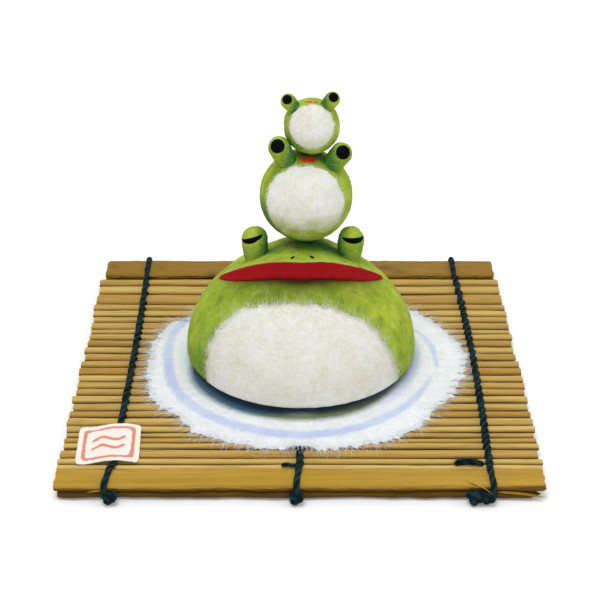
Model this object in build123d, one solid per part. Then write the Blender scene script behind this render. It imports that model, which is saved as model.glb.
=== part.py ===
from build123d import *
import os
from math import cos, degrees, exp, pi, radians, sin, sqrt

# A paper craft ornament. Three papered frogs of falling size sit on each other's
# heads. The large one squats on a torn white paper pond, which is glued to a small
# mat of split bamboo, twined with three dark cords. A square paper label, left
# blank, is stuck over the left cord at the front.
# Millimetres. +X is to the viewer's right, +Y to the back, +Z up. The origin is
# the middle of the mat's footprint on the surface that it lies on.

# Mat: the slats from back to front, each with its share of the gaps
mat_width = 160.0
slat_pitches = (5.6, 6.7, 7.9, 4.6, 4.8, 4.4, 5.1, 3.4, 4.2, 4.8, 4.6, 4.9, 4.7, 5.1,
                4.4, 4.5, 4.4, 4.6, 4.8, 4.2, 5.0, 3.9, 3.1, 3.1, 3.5, 5.2, 3.4, 3.4)
slat_thickness = 2.2
slat_gap = 0.45
slat_edge = 0.75
slat_end_scatter = 0.7
strand_lift = 0.9
land_width = 1.4
land_thickness = 0.9

# Battens: a pair at the back and a pair at the front, which the cords clamp
front_batten_width = 10.0
back_batten_width = 12.9
lower_batten_thickness = 2.1
upper_batten_thickness = 2.0
batten_spacing = 0.7
batten_edge = 0.5
batten_clearance = 0.4
lower_batten_inset = 1.0

# The broken right end of the lower front batten: the break's corners, back from the
# end as shares of the splinters' length, and across as shares of the batten's width
splinter_length = 17.0
break_corners = ((1.0, 0.0), (0.45, 0.14), (0.09, 0.06), (0.4, 0.32), (0.22, 0.42), (0.3, 1.0))

# Cords: three lines, each a strand above and a strand below the slats. Knots and cut
# tails are given for the left, centre and right line, and the left has no tail
line_margin = 17.4
cord_width = 2.2
cord_thickness = 1.7
pressed_cord = 0.8
cord_edge = 0.5
knot_offsets = (1.9, -1.3, -4.8)
knot_lengths = (6.4, 6.4, 11.0)
knot_thickness = 5.0
knot_bite = 1.0
knot_press = 0.2
tail_lengths = (0.0, 5.9, 11.0)
tail_thicknesses = (0.0, 1.3, 2.2)
tail_setbacks = (0.0, 1.3, 2.4)
tail_press = 0.1
blunt_tip = 8.0

# Pond and label
pond_radius = 59.5
pond_back = 3.0
pond_tear = 1.4
pond_points = 48
pond_thickness = 0.4
drape_run = 6.0
label_size = 21.0
label_corner = 2.2
label_thickness = 0.25
label_turn = 2.5
label_shift = 1.8
label_setback = 13.3

# Large frog: a dome of paper clay, its heights measured from its flat foot
dome_radius = 41.8
dome_height = 45.2
dome_x = 0.4
dome_y = 4.5
widest_height = 2.5
foot_round = 6.0
side_bulge = 2.2
crown_taper = 1.19
body_levels = (-1, -0.8, -0.5, 0, 0.12, 0.27, 0.4, 0.55, 0.7, 0.85, 1)
head_levels = (0, 0.15, 0.3, 0.45, 0.6, 0.75, 0.9, 1)
ring_points = 36

# Its mouth runs round the front from cheek to cheek, under a lip that juts out
mouth_height = 37.4
mouth_drop = 16.0
mouth_turn = 102.0
mouth_corner = 3.5
face_width = 0.9
lip_height = 7.4
lip_fall = 3.2
lip_reach = 1.5
lip_edge = 0.4
lip_fade = 0.9
chin_recess = 4.1
chin_foot = 0.25
chin_curve = 0.8
mouth_paper = 0.3
mouth_span = 96.0
mouth_steps = 12

# Its white belly paper, as shares of the dome's radius and of the mouth's height
belly_paper = 0.4
belly_outline = ((-0.785, -0.053), (-0.804, 0.214), (-0.766, 0.401), (-0.675, 0.591),
                 (-0.531, 0.730), (-0.421, 0.797), (-0.292, 0.845), (-0.105, 0.864),
                 (0.211, 0.853), (0.376, 0.816), (0.517, 0.741), (0.627, 0.642),
                 (0.718, 0.527), (0.818, 0.267), (0.842, -0.053))

# Middle and small frogs: balls of paper clay, each glued by a small flat
seat_rise = 0.3
seat_x = 1.7
seat_y = 4.5
middle_radius = 16.3
middle_seat = 2.6
small_radius = 9.7
small_seat = 2.0
small_lean_x = 1.9
small_lean_y = 1.2
small_paper = 0.3
middle_belly_rise = 9.0
middle_belly_spread = 54.0
middle_mouth_size = 2.9
middle_mouth_side = 4.0
middle_mouth_gap = 4.8
small_belly_rise = 23.0
small_belly_spread = 52.0
small_mouth_size = 2.0
small_mouth_gap = 3.5
mouth_flatness = 0.8

# Eyes: end radii, how far the ends stand out, and where they point from each ball
large_eye_radius = 4.6
large_eye_spread = 17.0
large_eye_x = 0.6
large_eye_forward = 1.5
large_eye_stand = 9.4
large_eye_depth = 4.0
large_eye_lean = 1.4
middle_eye_radius = 3.8
middle_eye_stand = 5.6
middle_eye_directions = ((-8.9, -4.6, 20.0), (12.4, -4.0, 17.1))
small_eye_radius = 2.6
small_eye_stand = 3.3
small_eye_directions = ((-8.1, -2.2, 9.7), (7.2, -2.2, 10.8))
root_width = 0.8
root_depth = 0.3

# Painted pupils, as shares of the eye's end, and the way that they look
paint = 0.15
dot_size = 0.62
crescent_size = 0.78
crescent_bite = 0.55
sight_side = 12.0
sight_rise = 28.0

# Heights and places that follow from the sizes above
line_spacing = mat_width / 2 - line_margin
lower_batten_z = pressed_cord
upper_batten_z = lower_batten_z + lower_batten_thickness + batten_spacing
batten_top = upper_batten_z + upper_batten_thickness
slat_z = strand_lift + cord_thickness
slat_top = slat_z + slat_thickness
field_depth = sum(slat_pitches)
mat_depth = field_depth + front_batten_width + back_batten_width + 2 * batten_clearance
mat_front = -mat_depth / 2
mat_back = mat_depth / 2
front_batten_back = mat_front + front_batten_width
back_batten_front = mat_back - back_batten_width
field_front = front_batten_back + batten_clearance
field_back = back_batten_front - batten_clearance
frog_z = slat_top + cord_thickness + pond_thickness
seat_top = frog_z + dome_height + seat_rise


def scatter(index, phase):
    """An uneven but fixed value from -1 to 1, for hand-cut ends."""
    return sin(2.4 * index + phase) * cos(1.1 * index * phase)


def box(x0, x1, y0, y1, z0, z1):
    """A block between two corners."""
    return Pos((x0 + x1) / 2, (y0 + y1) / 2, (z0 + z1) / 2) * Box(x1 - x0, y1 - y0, z1 - z0)


def beyond(plane, size):
    """The space past a plane, as a block much larger than the size given."""
    return plane * Pos(0, 0, 2 * size) * Box(8 * size, 8 * size, 4 * size)


def rod(x0, x1, y0, y1, z0, z1, edge):
    """A split bamboo strip along X, its section a rounded rectangle."""
    middle = Plane(origin=(x0, (y0 + y1) / 2, (z0 + z1) / 2), x_dir=(0, 1, 0), z_dir=(1, 0, 0))
    return extrude(middle * RectangleRounded(y1 - y0, z1 - z0, edge), amount=x1 - x0)


def slat_field():
    """All the slats, joined by narrow lands that lie hidden under the three cords."""
    slats = []
    back = field_back
    for index, pitch in enumerate(slat_pitches):
        left = -mat_width / 2 + slat_end_scatter * scatter(index, 1.0)
        right = mat_width / 2 + slat_end_scatter * scatter(index, 2.0)
        y0 = back - pitch + slat_gap / 2
        y1 = back - slat_gap / 2
        slats.append(rod(left, right, y0, y1, slat_z, slat_top, slat_edge))
        back -= pitch
    middle = slat_z + slat_thickness / 2
    for line in (-line_spacing, 0, line_spacing):
        slats.append(box(line - land_width / 2, line + land_width / 2,
                         field_front + slat_gap, field_back - slat_gap,
                         middle - land_thickness / 2, middle + land_thickness / 2))
    return slats[0].fuse(*slats[1:])


def batten(y0, y1, z0, thickness, inset=0.0):
    """One long strip of split bamboo."""
    half = mat_width / 2
    return rod(-half + inset, half - inset, y0, y1, z0, z0 + thickness, batten_edge)


def splintered_batten():
    """The lower front strip: its right end is broken off into two long splinters."""
    strip = batten(mat_front, front_batten_back, lower_batten_z, lower_batten_thickness, lower_batten_inset)
    end = mat_width / 2
    corners = [(end - back * splinter_length, mat_front + across * front_batten_width)
               for back, across in break_corners]
    start = (corners[0][0], mat_front - 1)
    inner = (corners[-1][0], front_batten_back + 1)
    past_end = [(end + 1, front_batten_back + 1), (end + 1, mat_front - 1)]
    broken = Polyline(start, *corners, inner, *past_end, close=True)
    return strip - extrude(make_face(broken), amount=upper_batten_z)


def lump(x, y, z, length, thickness):
    """A drawn-up knot, a half ellipse turned about its own length, its two tips cut flat."""
    rim = EllipticalCenterArc((0, 0), length / 2, thickness / 2, start_angle=blunt_tip,
                              arc_size=180 - 2 * blunt_tip)
    right = rim @ 0
    left = rim @ 1
    half = make_face([rim, Polyline(left, (left.X, 0), (right.X, 0), right)])
    return Pos(x, y, z) * revolve(half, Axis.X)


def cut_tail(line, length, thickness, setback):
    """The cut end of a cord, tucked to the left of its line in the first groove."""
    radius = thickness / 2
    end = CenterArc((-length, 0), radius, 90, 90 - blunt_tip)
    tip = end @ 1
    half = make_face([Polyline((0, 0), (0, radius), (-length, radius)), end, Polyline(tip, (tip.X, 0), (0, 0))])
    return Pos(line, field_front + setback, slat_top + radius - tail_press) * revolve(half, Axis.X)


def cord(line, knot_offset, knot_length, tail_length, tail_thickness, tail_setback):
    """One cord line: both strands as one band, its knot in front and its cut tail.

    The band is the outline of the mat's section grown by the cord's thickness. The
    mat's weight presses it flat where it passes under the battens.
    """
    front_step = field_front + slat_gap / 2 + slat_edge / 2
    back_step = field_back - slat_gap / 2 - slat_edge / 2
    section = Polyline((mat_front, lower_batten_z), (mat_front, batten_top),
                       (front_batten_back, batten_top), (front_step, slat_top),
                       (back_step, slat_top), (back_batten_front, batten_top),
                       (mat_back, batten_top), (mat_back, lower_batten_z),
                       (back_batten_front, lower_batten_z), (back_step, slat_z),
                       (front_step, slat_z), (front_batten_back, lower_batten_z), close=True)
    inner = make_face(section)
    outer = make_face(offset(section, amount=cord_thickness, kind=Kind.ARC))
    side = Plane(origin=(line - cord_width / 2, 0, 0), x_dir=(0, 1, 0), z_dir=(1, 0, 0))
    whole = extrude(side * outer, amount=cord_width)
    whole = fillet(whole.faces().filter_by(Axis.X).edges(), cord_edge)
    knot_y = mat_front - knot_thickness / 2 + knot_bite
    knot_z = knot_thickness / 2 - knot_press
    whole = whole + lump(line + knot_offset, knot_y, knot_z, knot_length, knot_thickness)
    if tail_length:
        whole = whole + cut_tail(line, tail_length, tail_thickness, tail_setback)
    mat_side = Plane(origin=(-mat_width, 0, 0), x_dir=(0, 1, 0), z_dir=(1, 0, 0))
    core = extrude(mat_side * inner, amount=2 * mat_width)
    floor = beyond(Plane(origin=(0, 0, 0), z_dir=(0, 0, -1)), mat_width)
    return whole - core - floor


def draped_sheet(outline, line, thickness):
    """Paper of the given outline, lying flat on the slats and humped over one cord."""
    reach = mat_width
    foot = cord_width / 2 + drape_run
    crest = cord_width / 2
    across = ((1, 0), (1, 0))

    def surface(z):
        hump = z + cord_thickness
        flat_left = Line((line - reach, z), (line - foot, z))
        up = Spline((line - foot, z), (line - crest, hump), tangents=across)
        top = Line((line - crest, hump), (line + crest, hump))
        down = Spline((line + crest, hump), (line + foot, z), tangents=across)
        flat_right = Line((line + foot, z), (line + reach, z))
        return [flat_left, up, top, down, flat_right]

    above = slat_top + thickness
    ends = [Line((line + side * reach, slat_top), (line + side * reach, above)) for side in (-1, 1)]
    profile = make_face(surface(slat_top) + surface(above) + ends)
    sheet = extrude(Plane.XZ * profile, amount=mat_depth, both=True)
    return sheet & extrude(outline, amount=2 * (above + cord_thickness))


def pond():
    """The torn round of white paper that the large frog is glued to."""
    points = []
    for k in range(pond_points):
        turn = 2 * pi * k / pond_points
        wave = 0.6 * sin(3 * turn + 1) + 0.3 * sin(7 * turn) + 0.35 * scatter(k, 1.7)
        radius = pond_radius + pond_tear * wave
        points.append((radius * cos(turn), pond_back + radius * sin(turn)))
    torn = make_face(Spline(*points, periodic=True))
    return draped_sheet(torn, 0, pond_thickness)


def label():
    """The square paper label, turned a little, over the left cord."""
    place = Pos(-line_spacing - label_shift, field_front + label_setback) * Rot(0, 0, label_turn)
    square = place * RectangleRounded(label_size, label_size, label_corner)
    return draped_sheet(square, -line_spacing, label_thickness)


def radius_at(height):
    """The dome's radius at a height: a rounded foot, then a superellipse to the crown."""
    if height < widest_height:
        return dome_radius - foot_round * (1 - height / widest_height) ** 2
    share = min((height - widest_height) / (dome_height - widest_height), 1)
    return dome_radius * (1 - share**side_bulge) ** (1 / crown_taper)


def height_at(radius):
    """The dome's height at a radius, the inverse of radius_at above its widest ring."""
    share = min(radius / dome_radius, 1)
    rise = (1 - share**crown_taper) ** (1 / side_bulge)
    return widest_height + (dome_height - widest_height) * rise


def facing(angle):
    """How far an angle from straight ahead still faces forward, 1 in front to 0."""
    return max(0.0, cos(face_width * angle))


def mouth_line(angle):
    """The lower edge of the mouth: high in front, falling round the cheeks."""
    fallen = 1 - exp(-((angle / radians(mouth_turn)) ** mouth_corner))
    height = mouth_height - mouth_drop * fallen
    return radius_at(height) - chin_recess * facing(angle) ** 2, height


def lip_line(angle):
    """The lip's edge: it juts out past the mouth line, and its rise falls off at the cheeks."""
    radius, height = mouth_line(angle)
    round_to_cheek = min(face_width * angle / (pi / 2), 1)
    rise = lip_height * (1 - round_to_cheek**lip_fall)
    return radius + lip_reach * facing(angle) - lip_edge, height + rise + lip_edge


def body_ring(level):
    """A ring of the body from the top of the foot, level 0, to the mouth line, level 1.

    A level below 0 is a ring of the rounded foot, down to the flat underside at -1.
    """
    def point(angle):
        top = mouth_line(angle)[1]
        height = widest_height * (1 + level)
        if level > 0:
            height = widest_height + level * (top - widest_height)
        drawn_in = chin_foot + (1 - chin_foot) * (height / top) ** chin_curve
        return radius_at(height) - chin_recess * facing(angle) ** 2 * drawn_in, height
    return point


def head_ring(level):
    """A ring of the head from the lip, level 0, to the seat of the next frog, level 1."""
    def point(angle):
        lip_radius, height = lip_line(angle)
        radius = middle_seat + (lip_radius - middle_seat) * (1 - level)
        if level == 1:
            return radius, dome_height + seat_rise
        lift = height - height_at(lip_radius)
        return radius, height_at(radius) + lift * (1 - level) ** lip_fade
    return point


def ring(point, grown=0.0, shift=0.0):
    """A closed curve round the dome, from a radius and a height at each angle."""
    points = []
    for k in range(ring_points):
        turn = 2 * pi * k / ring_points
        radius, height = point(min(turn, 2 * pi - turn))
        radius += grown
        points.append(Vector(dome_x + seat_x * shift**2 + radius * sin(turn),
                             dome_y + seat_y * shift**2 - radius * cos(turn), frog_z + height))
    return Wire([Edge.make_spline(points, periodic=True)])


def dome(grown=0.0):
    """The large frog's body as a closed skin: belly and back, mouth face, head."""
    lower = [ring(body_ring(level), grown) for level in body_levels]
    upper = [ring(head_ring(level), grown, level) for level in head_levels]
    skin = list(Shell.make_loft(lower).faces())
    skin += Shell.make_loft([lower[-1], upper[0]], ruled=True).faces()
    skin += Shell.make_loft(upper).faces()
    skin += [Face(lower[0]), Face(upper[-1])]
    return Solid(Shell(skin))


def large_belly(body):
    """White paper on the front of the dome, torn to a rounded outline."""
    points = [(across * dome_radius, up * mouth_height) for across, up in belly_outline]
    outline = make_face([Spline(*points), Line(points[-1], points[0])])
    prism = extrude(Plane.XZ * outline, amount=2 * dome_radius)
    return (dome(belly_paper) - body) & (Pos(dome_x, dome_y, frog_z) * prism)


def large_mouth(body):
    """Red paper on the mouth face, held back from the lip so that its edge shows."""
    strips = []
    for step in range(-mouth_steps, mouth_steps + 1):
        angle = abs(step) * radians(mouth_span) / mouth_steps
        side = -1 if step < 0 else 1
        low_radius, low = mouth_line(angle)
        high_radius, high = lip_line(angle)
        top = high - lip_edge
        corners = ((low_radius - 1, low), (high_radius - 1, top),
                   (high_radius + mouth_paper, top), (low_radius + mouth_paper, low))
        points = [Vector(dome_x + side * radius * sin(angle), dome_y - radius * cos(angle), frog_z + height)
                  for radius, height in corners]
        strips.append(Wire.make_polygon(points, close=True))
    return Solid.make_loft(strips) - body


def knob(root, tip, root_radius, tip_radius):
    """An eye as a stub with a round end, turned in one piece and leaning out of the head."""
    axis = Vector(*tip) - Vector(*root)
    side = Polyline((0, 0), (root_radius, 0), (tip_radius, axis.length))
    end = CenterArc((0, axis.length), tip_radius, 0, 90)
    middle = Line((0, axis.length + tip_radius), (0, 0))
    profile = make_face([*side.edges(), end, middle])
    return Plane(origin=root, z_dir=axis) * revolve(Plane.XZ * profile, Axis.Z)


def dome_eyes():
    """Both eyes of the large frog, each with the point that its round end is struck from."""
    eyes = {}
    surface = frog_z + height_at(large_eye_spread)
    for name, side in (("left", -1), ("right", 1)):
        x = dome_x + large_eye_x + side * large_eye_spread
        tip = Vector(x, dome_y - large_eye_forward, surface + large_eye_stand)
        root = Vector(x - side * large_eye_lean, tip.Y, surface - large_eye_depth)
        eyes[name] = (tip, knob(root, tip, root_width * large_eye_radius, large_eye_radius))
    return eyes


def ball_eyes(centre, radius, end_radius, stand, directions):
    """Both eyes of a ball frog, each with the point that its round end is struck from."""
    eyes = {}
    for name, direction in zip(("left", "right"), directions):
        outward = Vector(*direction).normalized()
        tip = centre + outward * (radius + stand)
        root = centre + outward * radius * (1 - root_depth)
        eyes[name] = (tip, knob(root, tip, root_width * end_radius, end_radius))
    return eyes


def sight(side, rise):
    """A direction that points forward, turned to the side and up by two angles."""
    level = cos(radians(rise))
    return Vector(sin(radians(side)) * level, -cos(radians(side)) * level, sin(radians(rise)))


def skin(centre, radius, thickness):
    """A thin layer on a ball."""
    return Pos(*centre) * Sphere(radius + thickness) - Pos(*centre) * Sphere(radius)


def dot(tip, radius, direction):
    """A round pupil of thick black paint on the end of an eye."""
    round_brush = extrude(Plane(origin=tip, z_dir=direction) * Circle(dot_size * radius), amount=2 * radius)
    return skin(tip, radius, paint) & round_brush


def crescent(tip, radius, direction, roll):
    """A sleepy eye: a downward bow of black paint on the end of an eye."""
    size = crescent_size * radius
    bow = Rot(0, 0, roll) * (Circle(size) - Pos(0, crescent_bite * size) * Circle(size))
    view = Plane(origin=tip, x_dir=(1, 0, 0), z_dir=direction)
    return skin(tip, radius, paint) & extrude(view * bow, amount=2 * radius)


def cap_paper(centre, radius, direction, spread):
    """A torn round of white paper on a ball: the part of its skin past a plane."""
    start = centre + direction * radius * cos(radians(spread))
    return skin(centre, radius, small_paper) & beyond(Plane(origin=start, z_dir=direction), radius)


def smile(centre, radius, size, side, belly_top, gap):
    """A small half-moon mouth of red paint, a gap above the belly paper's top edge."""
    moon = scale(Circle(size), by=(1, mouth_flatness, 1)) - Pos(0, size) * Rectangle(4 * size, 2 * size)
    depth = degrees(mouth_flatness * size / radius)
    view = Plane(origin=centre, x_dir=(1, 0, 0), z_dir=sight(side, belly_top + gap + depth))
    return skin(centre, radius, paint) & extrude(view * moon, amount=2 * radius)


parts = {}
parts["slat_field"] = slat_field()
parts["front_batten_lower"] = splintered_batten()
parts["front_batten_upper"] = batten(mat_front, front_batten_back, upper_batten_z, upper_batten_thickness)
parts["back_batten_lower"] = batten(back_batten_front, mat_back, lower_batten_z, lower_batten_thickness,
                                    lower_batten_inset)
parts["back_batten_upper"] = batten(back_batten_front, mat_back, upper_batten_z, upper_batten_thickness,
                                    lower_batten_inset)

lines = zip(("cord_left", "cord_centre", "cord_right"), (-line_spacing, 0, line_spacing),
            knot_offsets, knot_lengths, tail_lengths, tail_thicknesses, tail_setbacks)
for name, *sizes in lines:
    parts[name] = cord(*sizes)
parts["pond_paper"] = pond() - parts["cord_left"] - parts["cord_centre"] - parts["cord_right"]
parts["paper_label"] = label()

# The balls rest on flats: the middle one on the dome's seat, the small one on a joint
# that leans with it
reach = sqrt(middle_radius**2 - small_seat**2)
drop = sqrt(small_radius**2 - small_seat**2)
lean_rise = sqrt((reach + drop) ** 2 - small_lean_x**2 - small_lean_y**2)
lean = Vector(small_lean_x, small_lean_y, lean_rise).normalized()
middle_lift = sqrt(middle_radius**2 - middle_seat**2)
middle_centre = Vector(dome_x + seat_x, dome_y + seat_y, seat_top + middle_lift)
small_centre = middle_centre + lean * (reach + drop)
joint = middle_centre + lean * reach
under_seat = beyond(Plane(origin=(0, 0, seat_top), z_dir=(0, 0, -1)), middle_radius)
middle_ball = Pos(*middle_centre) * Sphere(middle_radius)
small_ball = Pos(*small_centre) * Sphere(small_radius)

large_body = dome()
middle_body = middle_ball - under_seat - beyond(Plane(origin=joint, z_dir=lean), middle_radius)
small_body = small_ball - beyond(Plane(origin=joint, z_dir=-lean), small_radius)
small_belly = cap_paper(small_centre, small_radius, sight(0, small_belly_rise), small_belly_spread)
parts["large_frog_body"] = large_body
parts["large_frog_belly_paper"] = large_belly(large_body)
parts["large_frog_mouth_paper"] = large_mouth(large_body)
parts["middle_frog_body"] = middle_body
parts["middle_frog_belly_paper"] = cap_paper(middle_centre, middle_radius, sight(0, middle_belly_rise),
                                             middle_belly_spread)
parts["middle_frog_mouth"] = smile(middle_centre, middle_radius, middle_mouth_size, middle_mouth_side,
                                   middle_belly_rise + middle_belly_spread, middle_mouth_gap)
parts["middle_frog_mouth"] = parts["middle_frog_mouth"] - middle_body - small_body
parts["small_frog_body"] = small_body
parts["small_frog_belly_paper"] = small_belly
parts["small_frog_mouth"] = smile(small_centre, small_radius, small_mouth_size, 0,
                                  small_belly_rise + small_belly_spread, small_mouth_gap)

# Each eye is cut to the heads that it grows from or touches, and painted on its end
middle_eyes = ball_eyes(middle_centre, middle_radius, middle_eye_radius, middle_eye_stand,
                        middle_eye_directions)
small_eyes = ball_eyes(small_centre, small_radius, small_eye_radius, small_eye_stand, small_eye_directions)
frogs = (("large", dome_eyes(), large_eye_radius, (large_body,)),
         ("middle", middle_eyes, middle_eye_radius, (middle_body, small_body)),
         ("small", small_eyes, small_eye_radius, (small_body, small_belly)))
for frog, eyes, end_radius, neighbours in frogs:
    pupils = []
    for side, turn in (("left", -sight_side), ("right", sight_side)):
        tip, eye = eyes[side]
        for neighbour in neighbours:
            eye = eye - neighbour
        parts[frog + "_frog_eye_" + side] = eye
        look = sight(turn, sight_rise)
        pupil = crescent(tip, end_radius, look, -turn) if frog == "large" else dot(tip, end_radius, look)
        pupils.append(pupil - eye)
    parts[frog + "_frog_pupils"] = Compound(children=pupils)

os.makedirs("parts", exist_ok=True)
for name, shape in parts.items():
    export_step(shape, "parts/" + name + ".step")
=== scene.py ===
from math import cos, pi, radians, sin

import bpy
import numpy as np
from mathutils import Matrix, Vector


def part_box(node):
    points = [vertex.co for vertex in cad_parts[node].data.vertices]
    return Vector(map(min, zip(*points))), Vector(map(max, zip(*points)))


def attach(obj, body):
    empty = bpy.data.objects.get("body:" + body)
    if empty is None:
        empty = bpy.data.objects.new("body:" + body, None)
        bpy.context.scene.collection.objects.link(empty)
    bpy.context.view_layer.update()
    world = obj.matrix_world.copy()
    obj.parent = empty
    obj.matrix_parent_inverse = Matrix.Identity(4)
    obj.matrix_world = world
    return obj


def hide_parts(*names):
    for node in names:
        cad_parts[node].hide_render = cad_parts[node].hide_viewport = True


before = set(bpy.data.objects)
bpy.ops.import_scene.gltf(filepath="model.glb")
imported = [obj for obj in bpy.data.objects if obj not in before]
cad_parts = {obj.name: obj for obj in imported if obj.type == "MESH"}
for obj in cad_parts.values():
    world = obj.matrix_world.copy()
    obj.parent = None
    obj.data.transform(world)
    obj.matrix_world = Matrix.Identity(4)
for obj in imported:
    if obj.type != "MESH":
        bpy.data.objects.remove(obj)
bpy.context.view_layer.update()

# Camera. It looks down at the front of the ornament from close by.
# Lengths are in millimetres until a thing is placed, and the scales of patterns in
# repeats in a metre.
metre = 0.001
camera_back = 453.6
camera_height = 296.0
camera_pitch = 30.3
camera_lens = 87.9

camera_data = bpy.data.cameras.new("camera")
camera_data.lens = camera_lens
camera = bpy.data.objects.new("camera", camera_data)
camera.location = (0, -camera_back * metre, camera_height * metre)
camera.rotation_euler = (radians(90 - camera_pitch), 0, 0)
bpy.context.scene.collection.objects.link(camera)
bpy.context.scene.camera = camera

# Slats. Split bamboo strips laid side by side, each one rounded by the splitting knife
# and sanded lightly. They come from several canes, so their tones vary, and their ends
# are cut by hand.
slat_pitches = (5.6, 6.7, 7.9, 4.6, 4.8, 4.4, 5.1, 3.4, 4.2, 4.8, 4.6, 4.9, 4.7, 5.1,
                4.4, 4.5, 4.4, 4.6, 4.8, 4.2, 5.0, 3.9, 3.1, 3.1, 3.5, 5.2, 3.4, 3.4)
slat_gap = 0.45
slat_end_scatter = 0.7
slat_stations = 44
slat_corners = 18
slat_squareness = 2.25
slat_bow = 0.12
slat_shrunk = 0.25
slat_end_margin = 0.6
slat_sunk = 0.15
# Painted shade on each slat's lower and front sides: strength, start, run, front share, darkest
slat_shade = 0.9
slat_shade_from = 0.75
slat_shade_run = 1.3
slat_front_shade = 0.36
slat_darkest = 0.95
slat_tones = (0.50, 0.35, 0.62, 0.55, 0.25, 0.45, 0.52, 0.40, 0.30, 0.72, 0.28, 0.60, 0.55, 0.82,
              0.20, 0.42, 0.66, 0.30, 0.48, 0.70, 0.35, 0.25, 0.48, 0.60, 0.35, 0.62, 0.15, 0.10)
slat_pale = "#E2C473"
slat_tan = "#B4893A"
slat_vein = "#6E4818"
# The brown of the painted shade on the slats, and of the battens' split fronts and spots
grime_and_shade_brown = "#4A2E0E"
cane_grain = (40.0, 1000.0, 1000.0)


def linear(code):
    """A hex sRGB colour as linear red, green, blue and alpha."""
    channels = np.array([int(code[i:i + 2], 16) for i in (1, 3, 5)]) / 255
    curved = ((channels + 0.055) / 1.055) ** 2.4
    return (*np.where(channels <= 0.04045, channels / 12.92, curved).tolist(), 1.0)


def add(tree, kind, inputs=None, out=0, **settings):
    """Adds a node with its settings, sets or links its inputs, and gives one output."""
    made = tree.nodes.new(kind)
    for setting, value in settings.items():
        setattr(made, setting, value)
    for socket, value in (inputs or {}).items():
        if isinstance(value, bpy.types.NodeSocket):
            tree.links.new(value, made.inputs[socket])
        else:
            made.inputs[socket].default_value = value
    return made.outputs[out] if made.outputs else None


def new_material(name):
    """An empty node material, and its tree."""
    material = bpy.data.materials.new(name)
    material.use_nodes = True
    material.node_tree.nodes.clear()
    return material, material.node_tree


def finished(material, colour, roughness, specular, relief=None, strength=0.0, depth=0.2):
    """The material with its colour and dullness, over a relief of some depth in millimetres."""
    tree = material.node_tree
    inputs = {"Base Color": colour, "Roughness": roughness, "Specular IOR Level": specular}
    if relief is not None:
        inputs["Normal"] = add(tree, "ShaderNodeBump", {"Height": relief, "Strength": strength,
                                                        "Distance": depth * metre})
    shader = add(tree, "ShaderNodeBsdfPrincipled", inputs)
    add(tree, "ShaderNodeOutputMaterial", {"Surface": shader})
    return material


def corners_of(node):
    """The low and the high corner of a CAD piece's box, in millimetres."""
    return [np.array(corner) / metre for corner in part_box(node)]


def round_turns(count):
    """Evenly spaced turns, once round a circle."""
    return 2 * pi * np.arange(count) / count


def wander(points, scale, seed, waves=7):
    """A smooth uneven value about 0: the sum of sine waves that cross in random directions."""
    rng = np.random.default_rng(seed)
    total = np.zeros(points.shape[:-1])
    for wave in range(waves):
        way = rng.normal(size=points.shape[-1])
        way *= rng.uniform(0.6, 1.6) / (np.linalg.norm(way) * scale)
        total += np.sin(2 * pi * (points @ way) + rng.uniform(0, 2 * pi))
    return total / (waves / 2) ** 0.5


def closed_skin(rings):
    """Points and faces over a stack of closed rings (rows, columns, 3), a fan over each end."""
    rows, columns = rings.shape[:2]
    index = np.arange(rows * columns).reshape(rows, columns)
    after = np.roll(index, -1, axis=1)
    sides = np.stack([index[:-1], after[:-1], after[1:], index[1:]], axis=-1).reshape(-1, 4)
    first = np.full(columns, rows * columns)
    none = np.full(columns, -1)
    start = np.stack([after[0], index[0], first, none], axis=-1)
    end = np.stack([index[-1], after[-1], first + 1, none], axis=-1)
    points = np.concatenate([rings.reshape(-1, 3), rings[:1].mean(1), rings[-1:].mean(1)])
    return points, outward(points, np.concatenate([sides, start, end]))


def outward(points, faces):
    """The faces turned so that the closed shape's volume comes out positive."""
    a, b, c = (points[faces[:, k]] for k in range(3))
    d = points[np.where(faces[:, 3] < 0, faces[:, 0], faces[:, 3])]
    volume = (np.cross(a, b) * c).sum() + (np.cross(a, c) * d).sum()
    if volume > 0:
        return faces
    turned = faces[:, [0, 3, 2, 1]]
    triangles = faces[:, 3] < 0
    turned[triangles] = faces[triangles][:, [0, 2, 1, 3]]
    return turned


def joined(shapes):
    """Several shapes of points, faces and marks as one."""
    points, faces, marks, start = [], [], {}, 0
    for shape_points, shape_faces, shape_marks in shapes:
        points.append(shape_points)
        faces.append(np.where(shape_faces < 0, -1, shape_faces + start))
        start += len(shape_points)
        for mark, value in shape_marks.items():
            marks.setdefault(mark, []).append(np.broadcast_to(value, len(shape_points)))
    marks = {mark: np.concatenate(values) for mark, values in marks.items()}
    return np.concatenate(points), np.concatenate(faces), marks


def piece(name, shape, material, crease=None):
    """A mesh object at the origin, from points in millimetres, faces and named marks at the points."""
    points, faces, marks = shape
    triangles = faces[:, 3] < 0
    sizes = np.where(triangles, 3, 4)
    corners = faces.ravel()
    corners = corners[corners >= 0]
    mesh = bpy.data.meshes.new(name)
    mesh.vertices.add(len(points))
    mesh.vertices.foreach_set("co", (points * metre).astype(np.float32).ravel())
    mesh.loops.add(len(corners))
    mesh.loops.foreach_set("vertex_index", corners.astype(np.int32))
    mesh.polygons.add(len(faces))
    mesh.polygons.foreach_set("loop_start", (np.cumsum(sizes) - sizes).astype(np.int32))
    mesh.polygons.foreach_set("use_smooth", np.ones(len(faces), bool))
    mesh.update(calc_edges=True)
    mesh.validate()
    for mark, values in marks.items():
        attribute = mesh.attributes.new(mark, "FLOAT", "POINT")
        attribute.data.foreach_set("value", np.broadcast_to(values, len(points)).astype(np.float32))
    if crease:
        mesh.set_sharp_from_angle(angle=radians(crease))
    mesh.materials.append(material)
    made = bpy.data.objects.new(name, mesh)
    bpy.context.scene.collection.objects.link(made)
    return made


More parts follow.
